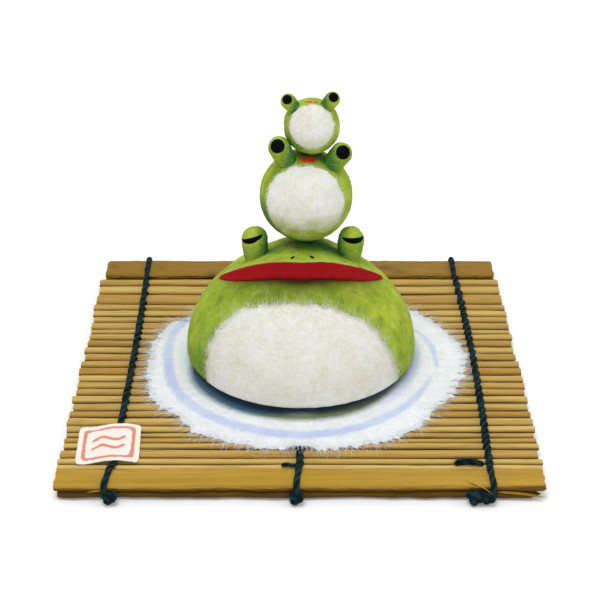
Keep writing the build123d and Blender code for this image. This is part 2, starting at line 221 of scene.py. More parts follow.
def bamboo_rod(x0, x1, y_middle, z_middle, width, thickness, seed, corners=slat_corners,
               stations=slat_stations, squareness=slat_squareness, bow=slat_bow, ragged=0.1):
    """One strip: a rounded oblong section carried along X, bowed a little, with rough ends.

    The section is a superellipse, its two half widths raised to 2 over the squareness. Its
    last two rings are drawn in, as a saw and sandpaper leave them.
    """
    turn = round_turns(corners)
    section_y = np.sign(np.cos(turn)) * np.abs(np.cos(turn)) ** (2 / squareness) * width / 2
    section_z = np.sign(np.sin(turn)) * np.abs(np.sin(turn)) ** (2 / squareness) * thickness / 2
    share = np.concatenate([[0, 0.002], np.linspace(0.005, 0.995, stations), [0.998, 1]])
    end = np.minimum(share, 1 - share)
    drawn_in = np.where(end < 0.001, 0.84, np.where(end < 0.003, 0.96, 1.0))
    x = x0 + (x1 - x0) * share
    line = np.stack([x, np.full_like(x, seed * 7.0)], axis=-1)
    shift_y = bow * wander(line, 90, seed)
    shift_z = 0.6 * bow * wander(line, 70, seed + 500)
    swell = 1 + 0.03 * wander(line, 45, seed + 900)
    rings = np.empty((len(x), corners, 3))
    rings[..., 0] = x[:, None]
    rings[..., 1] = y_middle + shift_y[:, None] + section_y * (swell * drawn_in)[:, None]
    rings[..., 2] = z_middle + shift_z[:, None] + section_z * drawn_in[:, None]
    rough = ragged * wander(rings[..., 1:], 1.3, seed + 40)
    rings[..., 0] += rough * (end < 0.004)[:, None]
    rings[..., 1] += 0.02 * wander(rings * (0.15, 1, 1), 0.9, seed + 70)
    rings[..., 2] += 0.03 * wander(rings * (0.12, 1, 1), 0.8, seed + 80)
    return closed_skin(rings)


def bamboo(name, pale, tan, vein, gloss, contrast):
    """Split bamboo: long fibres show as fine streaks, over slow changes of tone.

    Tone runs from pale to tan by the strip's own mark and a slow noise. Streaks are
    noise drawn out 25 times along the cane, and veins are its narrow dark crests. The
    strip's mark also shifts the noise, so that no two strips are alike.
    """
    material, tree = new_material(name)
    place = add(tree, "ShaderNodeTexCoord", out=3)
    strip = add(tree, "ShaderNodeAttribute", out=2, attribute_name="strip")
    apart = add(tree, "ShaderNodeCombineXYZ", {0: strip, 1: strip, 2: strip})
    apart = add(tree, "ShaderNodeVectorMath", {0: apart, 1: (31.0, 57.0, 83.0)}, operation="MULTIPLY")
    drawn = add(tree, "ShaderNodeMapping", {"Vector": place, "Scale": cane_grain})
    drawn = add(tree, "ShaderNodeVectorMath", {0: drawn, 1: apart}, operation="ADD")
    slow = add(tree, "ShaderNodeTexNoise", {"Vector": drawn, "Scale": 0.35, "Detail": 2.0})
    streak = add(tree, "ShaderNodeTexNoise", {"Vector": drawn, "Scale": 1.5, "Detail": 4.0, "Roughness": 0.6})
    tone = add(tree, "ShaderNodeAttribute", out=2, attribute_name="tone")
    tone = add(tree, "ShaderNodeMath", {0: slow, 1: 0.9, 2: tone}, operation="MULTIPLY_ADD")
    tone = add(tree, "ShaderNodeMapRange", {"Value": tone, "From Min": 0.35, "From Max": 1.35})
    dark = add(tree, "ShaderNodeMapRange", {"Value": streak, "From Min": 0.52, "From Max": 0.80,
                                            "To Max": contrast})
    light = add(tree, "ShaderNodeMapRange", {"Value": streak, "From Min": 0.46, "From Max": 0.25,
                                             "To Max": 0.55 * contrast})
    # This mark darkens towards one brown: painted shade on the slats and in the gap between the front
    # battens, and brown on the battens' split fronts, lower halves and spots
    grime_and_shade = add(tree, "ShaderNodeAttribute", out=2, attribute_name="grime_and_shade")
    body = linear(pale)
    for share, stain in ((tone, tan), (dark, vein), (light, pale), (grime_and_shade, grime_and_shade_brown)):
        body = add(tree, "ShaderNodeMix", {0: share, 6: body, 7: linear(stain)}, out=2, data_type="RGBA")
    return finished(material, body, gloss, 0.12, streak, 0.5, 0.12)


field_low, field_high = corners_of("slat_field")
mat_half = (field_high[0] - field_low[0]) / 2 - slat_end_margin
slat_middle = (field_low[2] + field_high[2]) / 2
slat_top = field_high[2]
slat_thickness = field_high[2] - field_low[2]
slat_backs = field_high[1] + slat_gap / 2 - np.concatenate([[0], np.cumsum(slat_pitches)])
slat_spread = np.random.default_rng(3)
slat_shapes = []
for k, pitch in enumerate(slat_pitches):
    left = -mat_half + slat_end_scatter * slat_spread.uniform(-1, 1)
    right = mat_half + slat_end_scatter * slat_spread.uniform(-1, 1)
    lower = slat_sunk * slat_spread.uniform(0, 1)
    middle = slat_backs[k] - pitch / 2
    points, faces = bamboo_rod(left, right, middle, slat_middle - lower / 2,
                               pitch - slat_gap - slat_shrunk, slat_thickness - lower, 10 + k)
    # Painted shade: darker below the slat's middle and on its front flank, into the gap
    deep = np.clip((slat_middle + slat_shade_from - points[:, 2]) / slat_shade_run, 0, 1)
    ahead = np.clip(((middle - points[:, 1]) / (pitch / 2) - 0.3) / 0.6, 0, 1)
    sunk = np.clip(slat_shade * deep + slat_front_shade * ahead, 0, slat_darkest)
    marks = {"strip": k / len(slat_pitches), "tone": slat_tones[k], "grime_and_shade": sunk}
    slat_shapes.append((points, faces, marks))
slat_bamboo = bamboo("split_bamboo_slats", slat_pale, slat_tan, slat_vein, 0.5, 0.75)
slats = piece("slats", joined(slat_shapes), slat_bamboo, crease=50)
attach(slats, "root")
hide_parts("slat_field")

# Battens. Wide strips from the cane's outer wall, two at the front and two at the back,
# clamped by the cords. Their skin is smooth and golden, the split sides are brown and
# rough, and the front pair is splintered at its right end.
batten_pale = "#CFA63C"
batten_tan = "#94701A"
batten_vein = "#63430C"
batten_corners = 40
batten_stations = 150
batten_squareness = 6.0
batten_inset = 0.2
batten_crown = 0.12
split_edge = 1.2
browned_end = 26.0
spot_width = 1.6
lower_brown = 0.9
front_edge_rough = 0.14
# Splinters: start, bend and tip with y from the mat's front, width, thickness, seed, and
# where they aren't plain, tone and grime
upper_splinters = (
    (((53.2, 3.2, 5.5), (58.0, 0.4, 6.8), (62.0, -3.0, 4.6)), 0.7, 0.3, 1),
    (((-64.0, 0.3, 3.9), (-66.5, -0.4, 4.1), (-69.0, -0.7, 3.8)), 0.8, 0.5, 2),
)
lower_splinters = (
    (((64.0, 0.8, 3.0), (73.0, 0.2, 3.1), (79.8, -0.9, 1.7)), 1.8, 0.8, 3, 0.6, 0.15),
    (((68.0, 0.5, 2.5), (74.0, -0.3, 2.4), (77.6, -0.9, 1.9)), 0.7, 0.3, 4),
)
# Dark spots in the back battens: x, y, half length along the cane, depth
back_spots = (
    (-75.6, 70.1, 1.5, 0.4), (-56.4, 70.5, 1.8, 0.35), (-35.6, 64.0, 2.2, 0.6), (34.7, 69.2, 3.0, 0.6),
    (40.6, 66.0, 3.2, 0.5), (12.0, 68.0, 4.0, 0.3), (62.0, 70.0, 2.0, 0.3),
)


def batten_shape(node, seed, tone, front_rough, right_fray, brown=0.3, gap_shade_and_browning=0.0, fray_run=2.5,
                 spots=()):
    """A batten in its CAD box: a flat oblong rod, its split front rough, its right end frayed.

    Its mark darkens towards brown on the split front and on the lower half, as a painted
    shade in the gap between two battens, and towards the right end, where it browns. Each
    spot fades as a bell curve along and across.
    """
    low, high = corners_of(node)
    middle = (low + high) / 2
    size = high - low
    points, faces = bamboo_rod(low[0] + batten_inset, high[0] - batten_inset, middle[1], middle[2], size[1],
                               size[2], seed, batten_corners, batten_stations, batten_squareness, 0.1, 0.12)
    x, y, z = points.T
    front = np.clip((low[1] + split_edge - y) / split_edge, 0, 1)
    below = np.clip((high[2] - 0.4 - z) / size[2], 0, 1)
    torn = front_rough * front * wander(points * (0.16, 0.5, 1.2), 1.0, seed + 3)
    y += np.where(y < middle[1], torn, 0)
    near_end = np.clip((x - high[0] + fray_run) / fray_run, 0, 1)
    x -= right_fray * near_end * np.abs(wander(points * (0, 1, 1.5), 1.6, seed + 5))
    crown = batten_crown * (1 - ((y - middle[1]) / (size[1] / 2)) ** 2)
    z += np.where(z > middle[2], crown - batten_crown, 0)
    grime_and_shade = brown * front + brown * below * (z < middle[2] + 0.4)
    # Painted shade in the gap below an upper front batten; browning towards the right end
    grime_and_shade += gap_shade_and_browning * front * np.clip((middle[2] + 0.2 - z) / 0.5, 0, 1)
    grime_and_shade += 0.8 * gap_shade_and_browning * front * np.clip((x - high[0] + browned_end) / 20, 0, 1)
    for spot_x, spot_y, reach, depth in spots:
        grime_and_shade += depth * np.exp(-((x - spot_x) / reach) ** 2 - ((y - spot_y) / spot_width) ** 2)
    return points, faces, {"strip": seed / 9, "tone": tone, "grime_and_shade": np.clip(grime_and_shade, 0, 0.85)}


def unit(vectors):
    """The vectors, each brought to length 1."""
    return vectors / np.maximum(np.linalg.norm(vectors, axis=-1), 1e-9)[..., None]


def splinter(bent, width, thickness, seed, tone=0.2, grime_and_shade=0.0, stations=16, corners=6):
    """A sliver along a bent line, a quadratic curve of three points, that tapers to its tip."""
    share = np.linspace(0, 1, stations)[:, None]
    start, bend, tip = np.array(bent) + (0, mat_front, 0)
    line = (1 - share) ** 2 * start + 2 * share * (1 - share) * bend + share**2 * tip
    way = unit(np.gradient(line, axis=0))
    side = unit(np.cross(way, (0, 0, 1)))
    up = np.cross(side, way)
    taper = np.clip(1 - share**2.2, 0.06, 1) * np.clip(0.35 + 6 * share, 0, 1)
    turn = round_turns(corners)
    rings = (line[:, None] + side[:, None] * (np.cos(turn) * width / 2)[:, None] * taper[:, None]
             + up[:, None] * (np.sin(turn) * thickness / 2)[:, None] * taper[:, None])
    points, faces = closed_skin(rings)
    return points, faces, {"strip": seed / 5, "tone": tone, "grime_and_shade": grime_and_shade}


batten_bamboo = bamboo("split_bamboo_battens", batten_pale, batten_tan, batten_vein, 0.38, 0.5)
upper_low, upper_high = corners_of("front_batten_upper")
mat_front = upper_low[1]
batten_front_back = upper_high[1]
batten_top = upper_high[2]

upper_front = [batten_shape("front_batten_upper", 21, 0.3, front_edge_rough, 0.35, gap_shade_and_browning=0.9)]
upper_front += [splinter(*row) for row in upper_splinters]
front_upper = piece("front_batten_upper_strip", joined(upper_front), batten_bamboo, crease=55)
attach(front_upper, "root")
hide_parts("front_batten_upper")

lower_front = [batten_shape("front_batten_lower", 22, 1.0, 0.12, 3.2, lower_brown, 0.6, 6.0)]
lower_front += [splinter(*row) for row in lower_splinters]
front_lower = piece("front_batten_lower_strip", joined(lower_front), batten_bamboo, crease=55)
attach(front_lower, "root")
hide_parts("front_batten_lower")

for node, seed, tone in (("back_batten_upper", 23, 1.0), ("back_batten_lower", 24, 1.1)):
    back_shape = batten_shape(node, seed, tone, 0.15, 0.3, spots=back_spots)
    back_strip = piece(node + "_strip", back_shape, batten_bamboo, crease=55)
    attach(back_strip, "root")
    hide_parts(node)

# Cords. Dark dyed cotton, plied from two yarns. In each line two strands swap sides
# between the slats, and both are drawn over the battens and knotted at the front.
cord_radius = 1.12
cord_squash = 0.78
ply_count = 2
ply_depth = 0.14
ply_pitch = 4.2
strand_step = 0.5
strand_corners = 12
strand_swing = 0.5
strand_low = 0.35
strand_press = 0.12
knot_radius = 1.3
knot_size = (5.6, 4.2, 5.3)
tuft_count = 360
tuft_hair = 0.11
back_batten_low, back_batten_high = corners_of("back_batten_upper")
back_batten_front = back_batten_low[1]
mat_back = back_batten_high[1]
# The cord's painted shade in its grooves, and its painted highlight on the crests
cord_dark = "#0A1B20"
cord_light = "#2B494D"
cord_fuzz = 2600.0


def run_along(line):
    """How far along a line each of its points lies."""
    return np.concatenate([[0], np.cumsum(np.linalg.norm(np.diff(line, axis=0), axis=1))])


def smooth_line(points, step=strand_step):
    """Evenly spaced points along a smooth cubic curve that passes through all the given ones."""
    points = np.array(points, float)
    ends = np.concatenate([[2 * points[0] - points[1]], points, [2 * points[-1] - points[-2]]])
    share = np.linspace(0, 1, 12, endpoint=False)[:, None, None]
    a, b, c, d = ends[:-3], ends[1:-2], ends[2:-1], ends[3:]
    curve = 0.5 * (2 * b + share * (c - a) + share**2 * (2 * a - 5 * b + 4 * c - d)
                   + share**3 * (3 * b - a - 3 * c + d))
    curve = np.concatenate([curve.transpose(1, 0, 2).reshape(-1, 3), points[-1:]])
    run = run_along(curve)
    even = np.linspace(0, run[-1], max(int(run[-1] / step), 4))
    return np.stack([np.interp(even, run, curve[:, k]) for k in range(3)], axis=-1)


def plied_cord(line, radius, seed, reference=(1.0, 0.0, 0.0), squash=1.0, round_ends=False):
    """A cord along a line: a round section, perhaps squashed, with lobes that twist with the run."""
    way = unit(np.gradient(line, axis=0))
    side = unit(np.asarray(reference) - way * (way * reference).sum(-1)[:, None])
    up = np.cross(way, side)
    run = run_along(line)
    turn = round_turns(strand_corners)
    twist = turn[None] - 2 * pi * run[:, None] / ply_pitch / ply_count
    lobes = 1 - ply_depth * (1 - np.abs(np.cos(ply_count * twist / 2)))
    size = radius * (1 + 0.05 * wander(np.stack([run, run * 0 + seed], axis=-1), 5, seed))
    if round_ends:
        end = np.clip(np.minimum(run, run[-1] - run) / radius, 0, 1)
        size *= np.sqrt(np.clip(1 - (1 - end) ** 2, 0.03, 1))
    size = size[:, None] * lobes
    rings = (line[:, None] + side[:, None] * (np.cos(turn) * size)[..., None]
             + up[:, None] * (np.sin(turn) * size * squash)[..., None])
    points, faces = closed_skin(rings)
    points[:, 2] = np.maximum(points[:, 2], 0.03)
    # 1 on the ply crests, 0 in the grooves: where the cotton paints highlight and shade
    crests = np.abs(np.cos(twist * ply_count / 2))
    return points, faces, {"ply": np.concatenate([crests.ravel(), [0.5, 0.5]])}


def strand_points(x, bow, first_side, front_shift):
    """A strand from the front knot, over or under the battens and from slat to slat, to the back."""
    radius = cord_radius
    over = batten_top + 0.7 * radius
    if first_side > 0:
        points = [(x + front_shift, mat_front - 1.3 * radius, 2.4),
                  (x + front_shift, mat_front - 0.9 * radius, 4.6),
                  (x + front_shift, mat_front + 0.5, over),
                  (x + 0.7 * front_shift, mat_front + 5.0, over - 0.1),
                  (x + 0.3 * front_shift, batten_front_back - 0.6, over - 0.1)]
        end = [(x, back_batten_front + 1.2, over - 0.1), (x, back_batten_front + 6.0, over),
               (x, mat_back - 0.8, over), (x, mat_back + 0.95 * radius, batten_top - 0.6),
               (x, mat_back + 0.95 * radius, 2.6)]
    else:
        points = [(x, mat_front - 0.9 * radius, 1.1), (x, mat_front + 2.0, strand_low),
                  (x, batten_front_back - 1.0, strand_low)]
        end = [(x, back_batten_front + 1.2, strand_low), (x, mat_back - 1.0, strand_low),
               (x, mat_back + 0.9 * radius, 1.2), (x, mat_back + 0.95 * radius, 2.9)]
    side = first_side
    for back, pitch in zip(slat_backs[-2::-1], slat_pitches[::-1]):
        y = back - pitch / 2
        aside = x + bow * sin(pi * (mat_back - y) / (mat_back - mat_front))
        z = slat_middle + side * (slat_thickness / 2 + 0.68 * radius) - strand_press * side
        lean = 0.6 * strand_swing * side
        points += [(aside - lean, y - 0.36 * pitch, z), (aside + lean, y + 0.36 * pitch, z)]
        side = -side
    return points + end


def knot(centre, size, seed):
    """A drawn-up overhand knot: a trefoil curve squeezed into the given size."""
    share = 2 * pi * np.linspace(0, 1, 90)
    line = np.stack([np.sin(share) + 2 * np.sin(2 * share), -np.sin(3 * share),
                     np.cos(share) - 2 * np.cos(2 * share)], axis=-1)
    line *= (np.array(size) / 2 - knot_radius) / (3.0, 1.0, 3.0)
    return plied_cord(line + np.array(centre), knot_radius, seed, reference=(0.05, 1.0, 0.1))


def hair_mesh(lines, asides, ups, radius):
    """Hairs along lines (hairs, stations, 3), each a flattened triangle that thins to its tip."""
    count, steps = lines.shape[:2]
    turn = pi / 2 + round_turns(3)
    thin = radius * (1 - 0.75 * np.linspace(0, 1, steps))[:, None, None]
    rings = lines[:, :, None] + thin * (asides[:, :, None] * np.cos(turn)[:, None]
                                        + 0.35 * ups[:, :, None] * np.sin(turn)[:, None])
    index = np.arange(count * steps * 3).reshape(count, steps, 3)
    after = np.roll(index, -1, axis=2)
    sides = np.stack([index[:, :-1], after[:, :-1], after[:, 1:], index[:, 1:]], axis=-1).reshape(-1, 4)
    none = np.full(count, -1)
    start = np.stack([index[:, 0, 2], index[:, 0, 1], index[:, 0, 0], none], axis=-1)
    end = np.stack([index[:, -1, 0], index[:, -1, 1], index[:, -1, 2], none], axis=-1)
    points = rings.reshape(-1, 3)
    return points, outward(points, np.concatenate([sides, start, end]))


def fibres(roots, ways, lengths, ups, radius, lift, curl, seed, steps=4):
    """Fine hairs: each runs from its root along its way, lifts and curls aside, and thins out.

    The line is root + way s + aside curl s squared + up lift s squared, s from 0 to its length.
    """
    rng = np.random.default_rng(seed)
    count = len(roots)
    share = np.linspace(0, 1, steps + 1)[None, :, None]
    aside = np.cross(ways, ups)
    curls = (curl * rng.normal(size=count) * lengths)[:, None, None]
    lifts = (lift * rng.uniform(-0.3, 1.0, count) * lengths)[:, None, None]
    lines = (roots[:, None] + ways[:, None] * lengths[:, None, None] * share
             + aside[:, None] * curls * share**2 + ups[:, None] * lifts * share**2)
    return hair_mesh(lines, aside[:, None], ups[:, None], radius)


def frayed_tuft(x0, x1, y, z, thickness, seed):
    """The cut end of a cord, teased out into short yarns that point up and aside."""
    rng = np.random.default_rng(seed)
    roots = np.stack([rng.uniform(x0, x1, tuft_count), y + rng.uniform(-0.4, 0.4, tuft_count),
                      z + rng.uniform(-0.2, 0.5, tuft_count) * thickness / 2], axis=-1)
    ways = rng.normal(size=(tuft_count, 3)) * (1.0, 0.5, 0.8)
    ways[:, 2] = np.abs(ways[:, 2])
    ways = unit(ways)
    ups = unit(np.cross(ways, (0, 1.0, 0.1)))
    lengths = rng.uniform(0.9, 2.3, tuft_count)
    return *fibres(roots, ways, lengths, ups, tuft_hair, 0.1, 0.2, seed), {"ply": 0.8}


def cotton():
    """Dyed cotton twine: dull, with painted shade near black in its grooves and a painted
    highlight on the fibres of its crests.
    """
    material, tree = new_material("dyed_cotton_twine")
    place = add(tree, "ShaderNodeTexCoord", out=3)
    fuzz = add(tree, "ShaderNodeTexNoise", {"Vector": place, "Scale": cord_fuzz, "Detail": 3.0,
                                            "Roughness": 0.7})
    ply = add(tree, "ShaderNodeAttribute", out=2, attribute_name="ply")
    crest = add(tree, "ShaderNodeMath", {0: fuzz, 1: ply}, operation="MULTIPLY")
    crest = add(tree, "ShaderNodeMapRange", {"Value": crest, "From Min": 0.2, "From Max": 0.75})
    colour = add(tree, "ShaderNodeMix", {0: crest, 6: linear(cord_dark), 7: linear(cord_light)}, out=2,
                 data_type="RGBA")
    return finished(material, colour, 0.9, 0.1, fuzz, 0.7)


# The cut tails lie in the first groove. Under the label and the pond the cords are
# pressed flat: the middle of that run, half its length, and the height that is left.
label_size = 21.0
label_x = -64.4
label_y = -52.3
pressed_runs = {"cord_left": (label_y, label_size / 2, 1.25), "cord_centre": (1.0, 54.5, 1.45)}
tail_z = slat_top + 0.7
centre_tail = ((-6.3, -64.4, tail_z), (-4.2, -64.3, tail_z + 0.3), (-2.6, -64.5, tail_z),
               (-0.6, -64.3, tail_z))
right_tail = ((50.8, -63.5, tail_z), (54.0, -63.3, tail_z + 0.5), (57.5, -63.4, tail_z + 0.5),
              (60.8, -63.6, tail_z - 0.1))
cord_cotton = cotton()
cord_lines = (
    ("cord_left", -62.0, 0.8, -1.3, [knot((-61.6, mat_front - 1.9, 2.7), knot_size, 31)]),
    ("cord_centre", 0.0, 0.0, -1.2, [
        knot((-1.3, mat_front - 1.9, 2.7), knot_size, 32),
        plied_cord(smooth_line(centre_tail), 0.65, 36, (0, 1.0, 0), round_ends=True)]),
    ("cord_right", 62.2, 1.6, 0.3, [
        knot((56.6, mat_front - 2.0, 2.9), (6.8, 4.4, 5.6), 33),
        knot((60.6, mat_front - 2.0, 2.7), (5.4, 4.2, 5.2), 34),
        plied_cord(smooth_line(right_tail), 0.95, 37, (0, 1.0, 0), round_ends=True),
        frayed_tuft(51.4, 58.6, -63.4, tail_z + 0.6, 2.0, 35)]),
)
for name, x, bow, front_shift, extras in cord_lines:
    strands = [plied_cord(smooth_line(strand_points(x, bow, side, front_shift)), cord_radius, 40 + side,
                          squash=cord_squash) for side in (1, -1)]
    if name in pressed_runs:
        middle, half, height = pressed_runs[name]
        for points, _, _ in strands:
            under_paper = np.abs(points[:, 1] - middle) < half
            points[under_paper, 2] = np.minimum(points[under_paper, 2], slat_top + height)
    line_cord = piece(name + "_twine", joined(strands + extras), cord_cotton)
    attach(line_cord, "root")
    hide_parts(name)

# Pond. A round of white long-fibred paper, torn wet so that its rim is all loose fibres,
# glued over the centre cord. Rings and a shadow are brushed on it in thin paint.
pond_x = 0.0
pond_y = 3.0
pond_reaches = ((-180, 53), (-150, 51), (-125, 50.5), (-116, 55), (-95, 55), (-76, 56.6), (-56, 58.4),
                (-47, 56.6), (-37, 58.9), (-15, 57.8), (0, 57.1), (20, 58.3), (41, 60.5), (55, 57.4),
                (75, 59.7), (90, 60.8), (113, 57), (130, 53), (155, 52))
pond_thickness = 0.4
pond_rim_thickness = 0.12
pond_columns = 720
pond_rows = 36
pond_tufts = 300
tuft_reach = (0.3, 2.8)
pond_hump = 1.55
drape_run = 6.0
drape_dip = 0.22
sheet_gap = 0.04
fringe_count = 4500
fringe_radius = 0.06
pond_white = "#F6F8FA"
pond_shade = "#E3E8ED"
fibre_white = "#FFFFFF"
stain_green = "#98A83C"
ring_blue = "#BFCDF2"
shadow_navy = "#3D5C78"
shadow_olive = "#6C784E"
pond_turquoise = "#BFE0E4"
paper_web = 420.0
paper_cloud = 160.0
paper_grain = 800.0
paint_edge = 700.0
brush_patch = 120.0
paint_follow = 1.5
# The ring round the frog: turn from the front, radius, half width, strength of the wash
ring_path = (
    (-1.9, 50.6, 1.7, 0.80), (-1.45, 49.0, 1.9, 0.85), (-1.03, 50.3, 1.9, 0.90), (-0.77, 50.6, 2.0, 0.85),
    (0.0, 50.9, 2.2, 0.85), (0.78, 49.9, 1.7, 0.80), (0.94, 49.7, 1.5, 0.75), (1.09, 49.4, 1.2, 0.70),
    (1.25, 49.1, 0.9, 0.45), (1.31, 49.4, 0.7, 0.0), (1.36, 50.1, 0.7, 0.10), (1.40, 50.2, 0.8, 0.65),
    (1.55, 49.2, 1.0, 0.70), (1.70, 48.7, 1.2, 0.65), (1.82, 47.8, 1.1, 0.55), (1.95, 46.7, 0.9, 0.35),
    (2.20, 46.7, 0.9, 0.20), (2.80, 49.0, 1.6, 0.60),
)
far_from_paint = 30.0
frog_x = 0.4
frog_y = 4.5
frog_foot = 38.6


def pond_rim(turn):
    """The torn rim's radius at an angle: slow waves, and tufts as narrow random peaks."""
    rng = np.random.default_rng(51)
    centres = rng.uniform(0, 2 * pi, pond_tufts)
    widths = rng.uniform(0.008, 0.02, pond_tufts)
    heights = rng.uniform(*tuft_reach, pond_tufts) * rng.uniform(0.2, 1.0, pond_tufts)
    away = np.abs((turn[:, None] - centres + pi) % (2 * pi) - pi) / widths
    tufts = (heights * np.exp(-away**1.4)).max(axis=1)
    ways, reaches = np.array(pond_reaches).T
    return np.interp(np.degrees(turn), ways, reaches, period=360) + 0.3 * np.sin(11 * turn + 2) + tufts


def on_pond(reach, turn):
    """The place on the mat at a reach from the pond's middle and a turn from its front."""
    return np.stack([pond_x + reach * np.sin(turn), pond_y - reach * np.cos(turn)], axis=-1)


def drape(points, line=0.0, rise=pond_hump, run=drape_run):
    """How high a sheet lies over the slats: humped over a cord, and dipping between slats."""
    away = np.clip((np.abs(points[..., 0] - line) - 1.2) / run, 0, 1)
    hump = rise * (1 - away**2 * (3 - 2 * away))
    behind = (slat_backs[None, :-1] - points[..., 1].reshape(-1, 1)) / np.array(slat_pitches)[None]
    inside = (behind >= 0) & (behind < 1)
    dip = np.where(inside, drape_dip * np.cos(2 * pi * behind), 0).sum(-1).reshape(points.shape[:-1])
    return hump - np.clip(dip, 0, 1) * (hump < 0.5)


def paper_sheet(outline, centre, thickness, rim_thickness, rows, *hump):
    """A thin closed sheet: rows shrink the outline towards its centre, above and then below.

    The hump is the line of the cord beneath, the rise over it and the run down to the slats.
    """
    share = np.concatenate([np.linspace(0.02, 0.9, rows), np.linspace(0.91, 1, rows // 3)])[:, None]
    flat = centre + (outline - centre) * share[..., None]
    base = slat_top + sheet_gap + drape(flat, *hump)
    thick = thickness + (rim_thickness - thickness) * np.clip((share - 0.75) / 0.25, 0, 1)
    over = np.concatenate([flat, (base + thick)[..., None]], axis=-1)
    under = np.concatenate([flat, base[..., None]], axis=-1)
    return closed_skin(np.concatenate([over, under[::-6]]))


pond_turn = round_turns(pond_columns)
pond_reach = pond_rim(pond_turn)
pond_points, pond_faces = paper_sheet(on_pond(pond_reach, pond_turn), (pond_x, pond_y), pond_thickness,
                                      pond_rim_thickness, pond_rows)
painted_y = pond_points[:, 1] + paint_follow * np.clip(drape(pond_points), 0, None)
from_frog = np.hypot(pond_points[:, 0] - frog_x, painted_y - frog_y)
frog_turn = np.arctan2(pond_points[:, 0] - frog_x, frog_y - painted_y)
ring_turns, *ring_rows = np.array(ring_path).T
ring_middle, ring_width, ring_wash = (np.interp(frog_turn, ring_turns, row, period=2 * pi)
                                      for row in ring_rows)
ring_middle += 0.15 * np.sin(5 * frog_turn)
navy_reach = 4.8 * np.exp(-(((frog_turn + 0.82) / 0.60) ** 4))
olive_reach = 3.7 * np.exp(-(((frog_turn - 0.05) / 0.80) ** 4)) + 0.5
pond_marks = {
    "ring": (from_frog - ring_middle) / ring_width,
    "wash": ring_wash,
    "turn": frog_turn,
    "foot": from_frog - frog_foot,
    "navy": from_frog - frog_foot - navy_reach,
    "olive": from_frog - frog_foot - olive_reach,
}

fringe_rng = np.random.default_rng(52)
fringe_turn = fringe_rng.uniform(0, 2 * pi, fringe_count)
fringe_root = np.interp(fringe_turn, pond_turn, pond_reach, period=2 * pi)
fringe_root -= fringe_rng.uniform(0.2, 3.0, fringe_count)
fringe_way = fringe_turn + fringe_rng.normal(0, 0.3, fringe_count)
fringe_roots = np.column_stack([on_pond(fringe_root, fringe_turn), np.zeros(fringe_count)])
fringe_roots[:, 2] = slat_top + 0.12 + drape(fringe_roots) + fringe_rng.uniform(0, 0.3, fringe_count)
fringe_ways = np.stack([np.sin(fringe_way), -np.cos(fringe_way), 0 * fringe_way], axis=-1)
fringe_ups = np.broadcast_to((0.0, 0.0, 1.0), (fringe_count, 3))
fringe_lengths = fringe_rng.gamma(2.4, 1.3, fringe_count).clip(0.8, 7.5)
fringe_points, fringe_faces = fibres(fringe_roots, fringe_ways, fringe_lengths, fringe_ups, fringe_radius,
                                     0.03, 0.2, 53, steps=3)
fringe_points[:, 2] = np.maximum(fringe_points[:, 2], slat_top + 0.05)
fringe_marks = {"wash": 0.0, "turn": 0.0, **dict.fromkeys(("ring", "foot", "navy", "olive"), far_from_paint)}


def fibre_web(tree, place, scale, twist, width, strength):
    """Long fibres in paper: the narrow bands where a twisted noise passes its middle value."""
    web = add(tree, "ShaderNodeTexNoise", {"Vector": place, "Scale": scale, "Detail": 2.0,
                                           "Distortion": twist})
    web = add(tree, "ShaderNodeMath", {0: web, 1: 0.5}, operation="SUBTRACT")
    web = add(tree, "ShaderNodeMath", {0: web}, operation="ABSOLUTE")
    return add(tree, "ShaderNodeMapRange", {"Value": web, "From Max": width, "To Min": strength,
                                            "To Max": 0.0})


def washi(name, white, shade, painted=None):
    """Long-fibred mulberry paper: dull white, with a web of paler and darker fibres that bump it.

    Paint, if any, soaks in and follows the fibres at its edges. The stain mark is where
    green has bled into the paper, in patches; on the balls' bellies it is also a painted
    shade that darkens them towards the bottom.
    """
    material, tree = new_material(name)
    place = add(tree, "ShaderNodeTexCoord", out=3)
    strands = fibre_web(tree, place, paper_web, 1.2, 0.035, 1.0)
    cloud = add(tree, "ShaderNodeTexNoise", {"Vector": place, "Scale": paper_cloud, "Detail": 6.0,
                                             "Roughness": 0.65})
    fine = add(tree, "ShaderNodeTexNoise", {"Vector": place, "Scale": paper_grain, "Detail": 3.0,
                                            "Distortion": 1.0})
    soft = add(tree, "ShaderNodeMath", {0: fine, 1: 0.9, 2: cloud}, operation="MULTIPLY_ADD")
    soft = add(tree, "ShaderNodeMapRange", {"Value": soft, "From Min": 0.72, "From Max": 1.16})
    lifted = add(tree, "ShaderNodeMath", {0: strands, 1: 0.5}, operation="MULTIPLY")
    colour = linear(shade)
    for share, tone in ((soft, white), (lifted, fibre_white)):
        colour = add(tree, "ShaderNodeMix", {0: share, 6: colour, 7: linear(tone)}, out=2, data_type="RGBA")
    if painted:
        colour = painted(tree, place, colour)
    stain = add(tree, "ShaderNodeAttribute", out=2, attribute_name="stain")
    patches = add(tree, "ShaderNodeMapRange", {"Value": cloud, "From Min": 0.68, "From Max": 0.36,
                                               "To Min": 0.5, "To Max": 1.3})
    stain = add(tree, "ShaderNodeMath", {0: stain, 1: patches}, operation="MULTIPLY", use_clamp=True)
    colour = add(tree, "ShaderNodeMix", {0: stain, 6: colour, 7: linear(stain_green)}, out=2,
                 data_type="RGBA")
    relief = add(tree, "ShaderNodeMath", {0: cloud, 1: 0.5, 2: strands}, operation="MULTIPLY_ADD")
    return finished(material, colour, 0.9, 0.08, relief, 0.3)


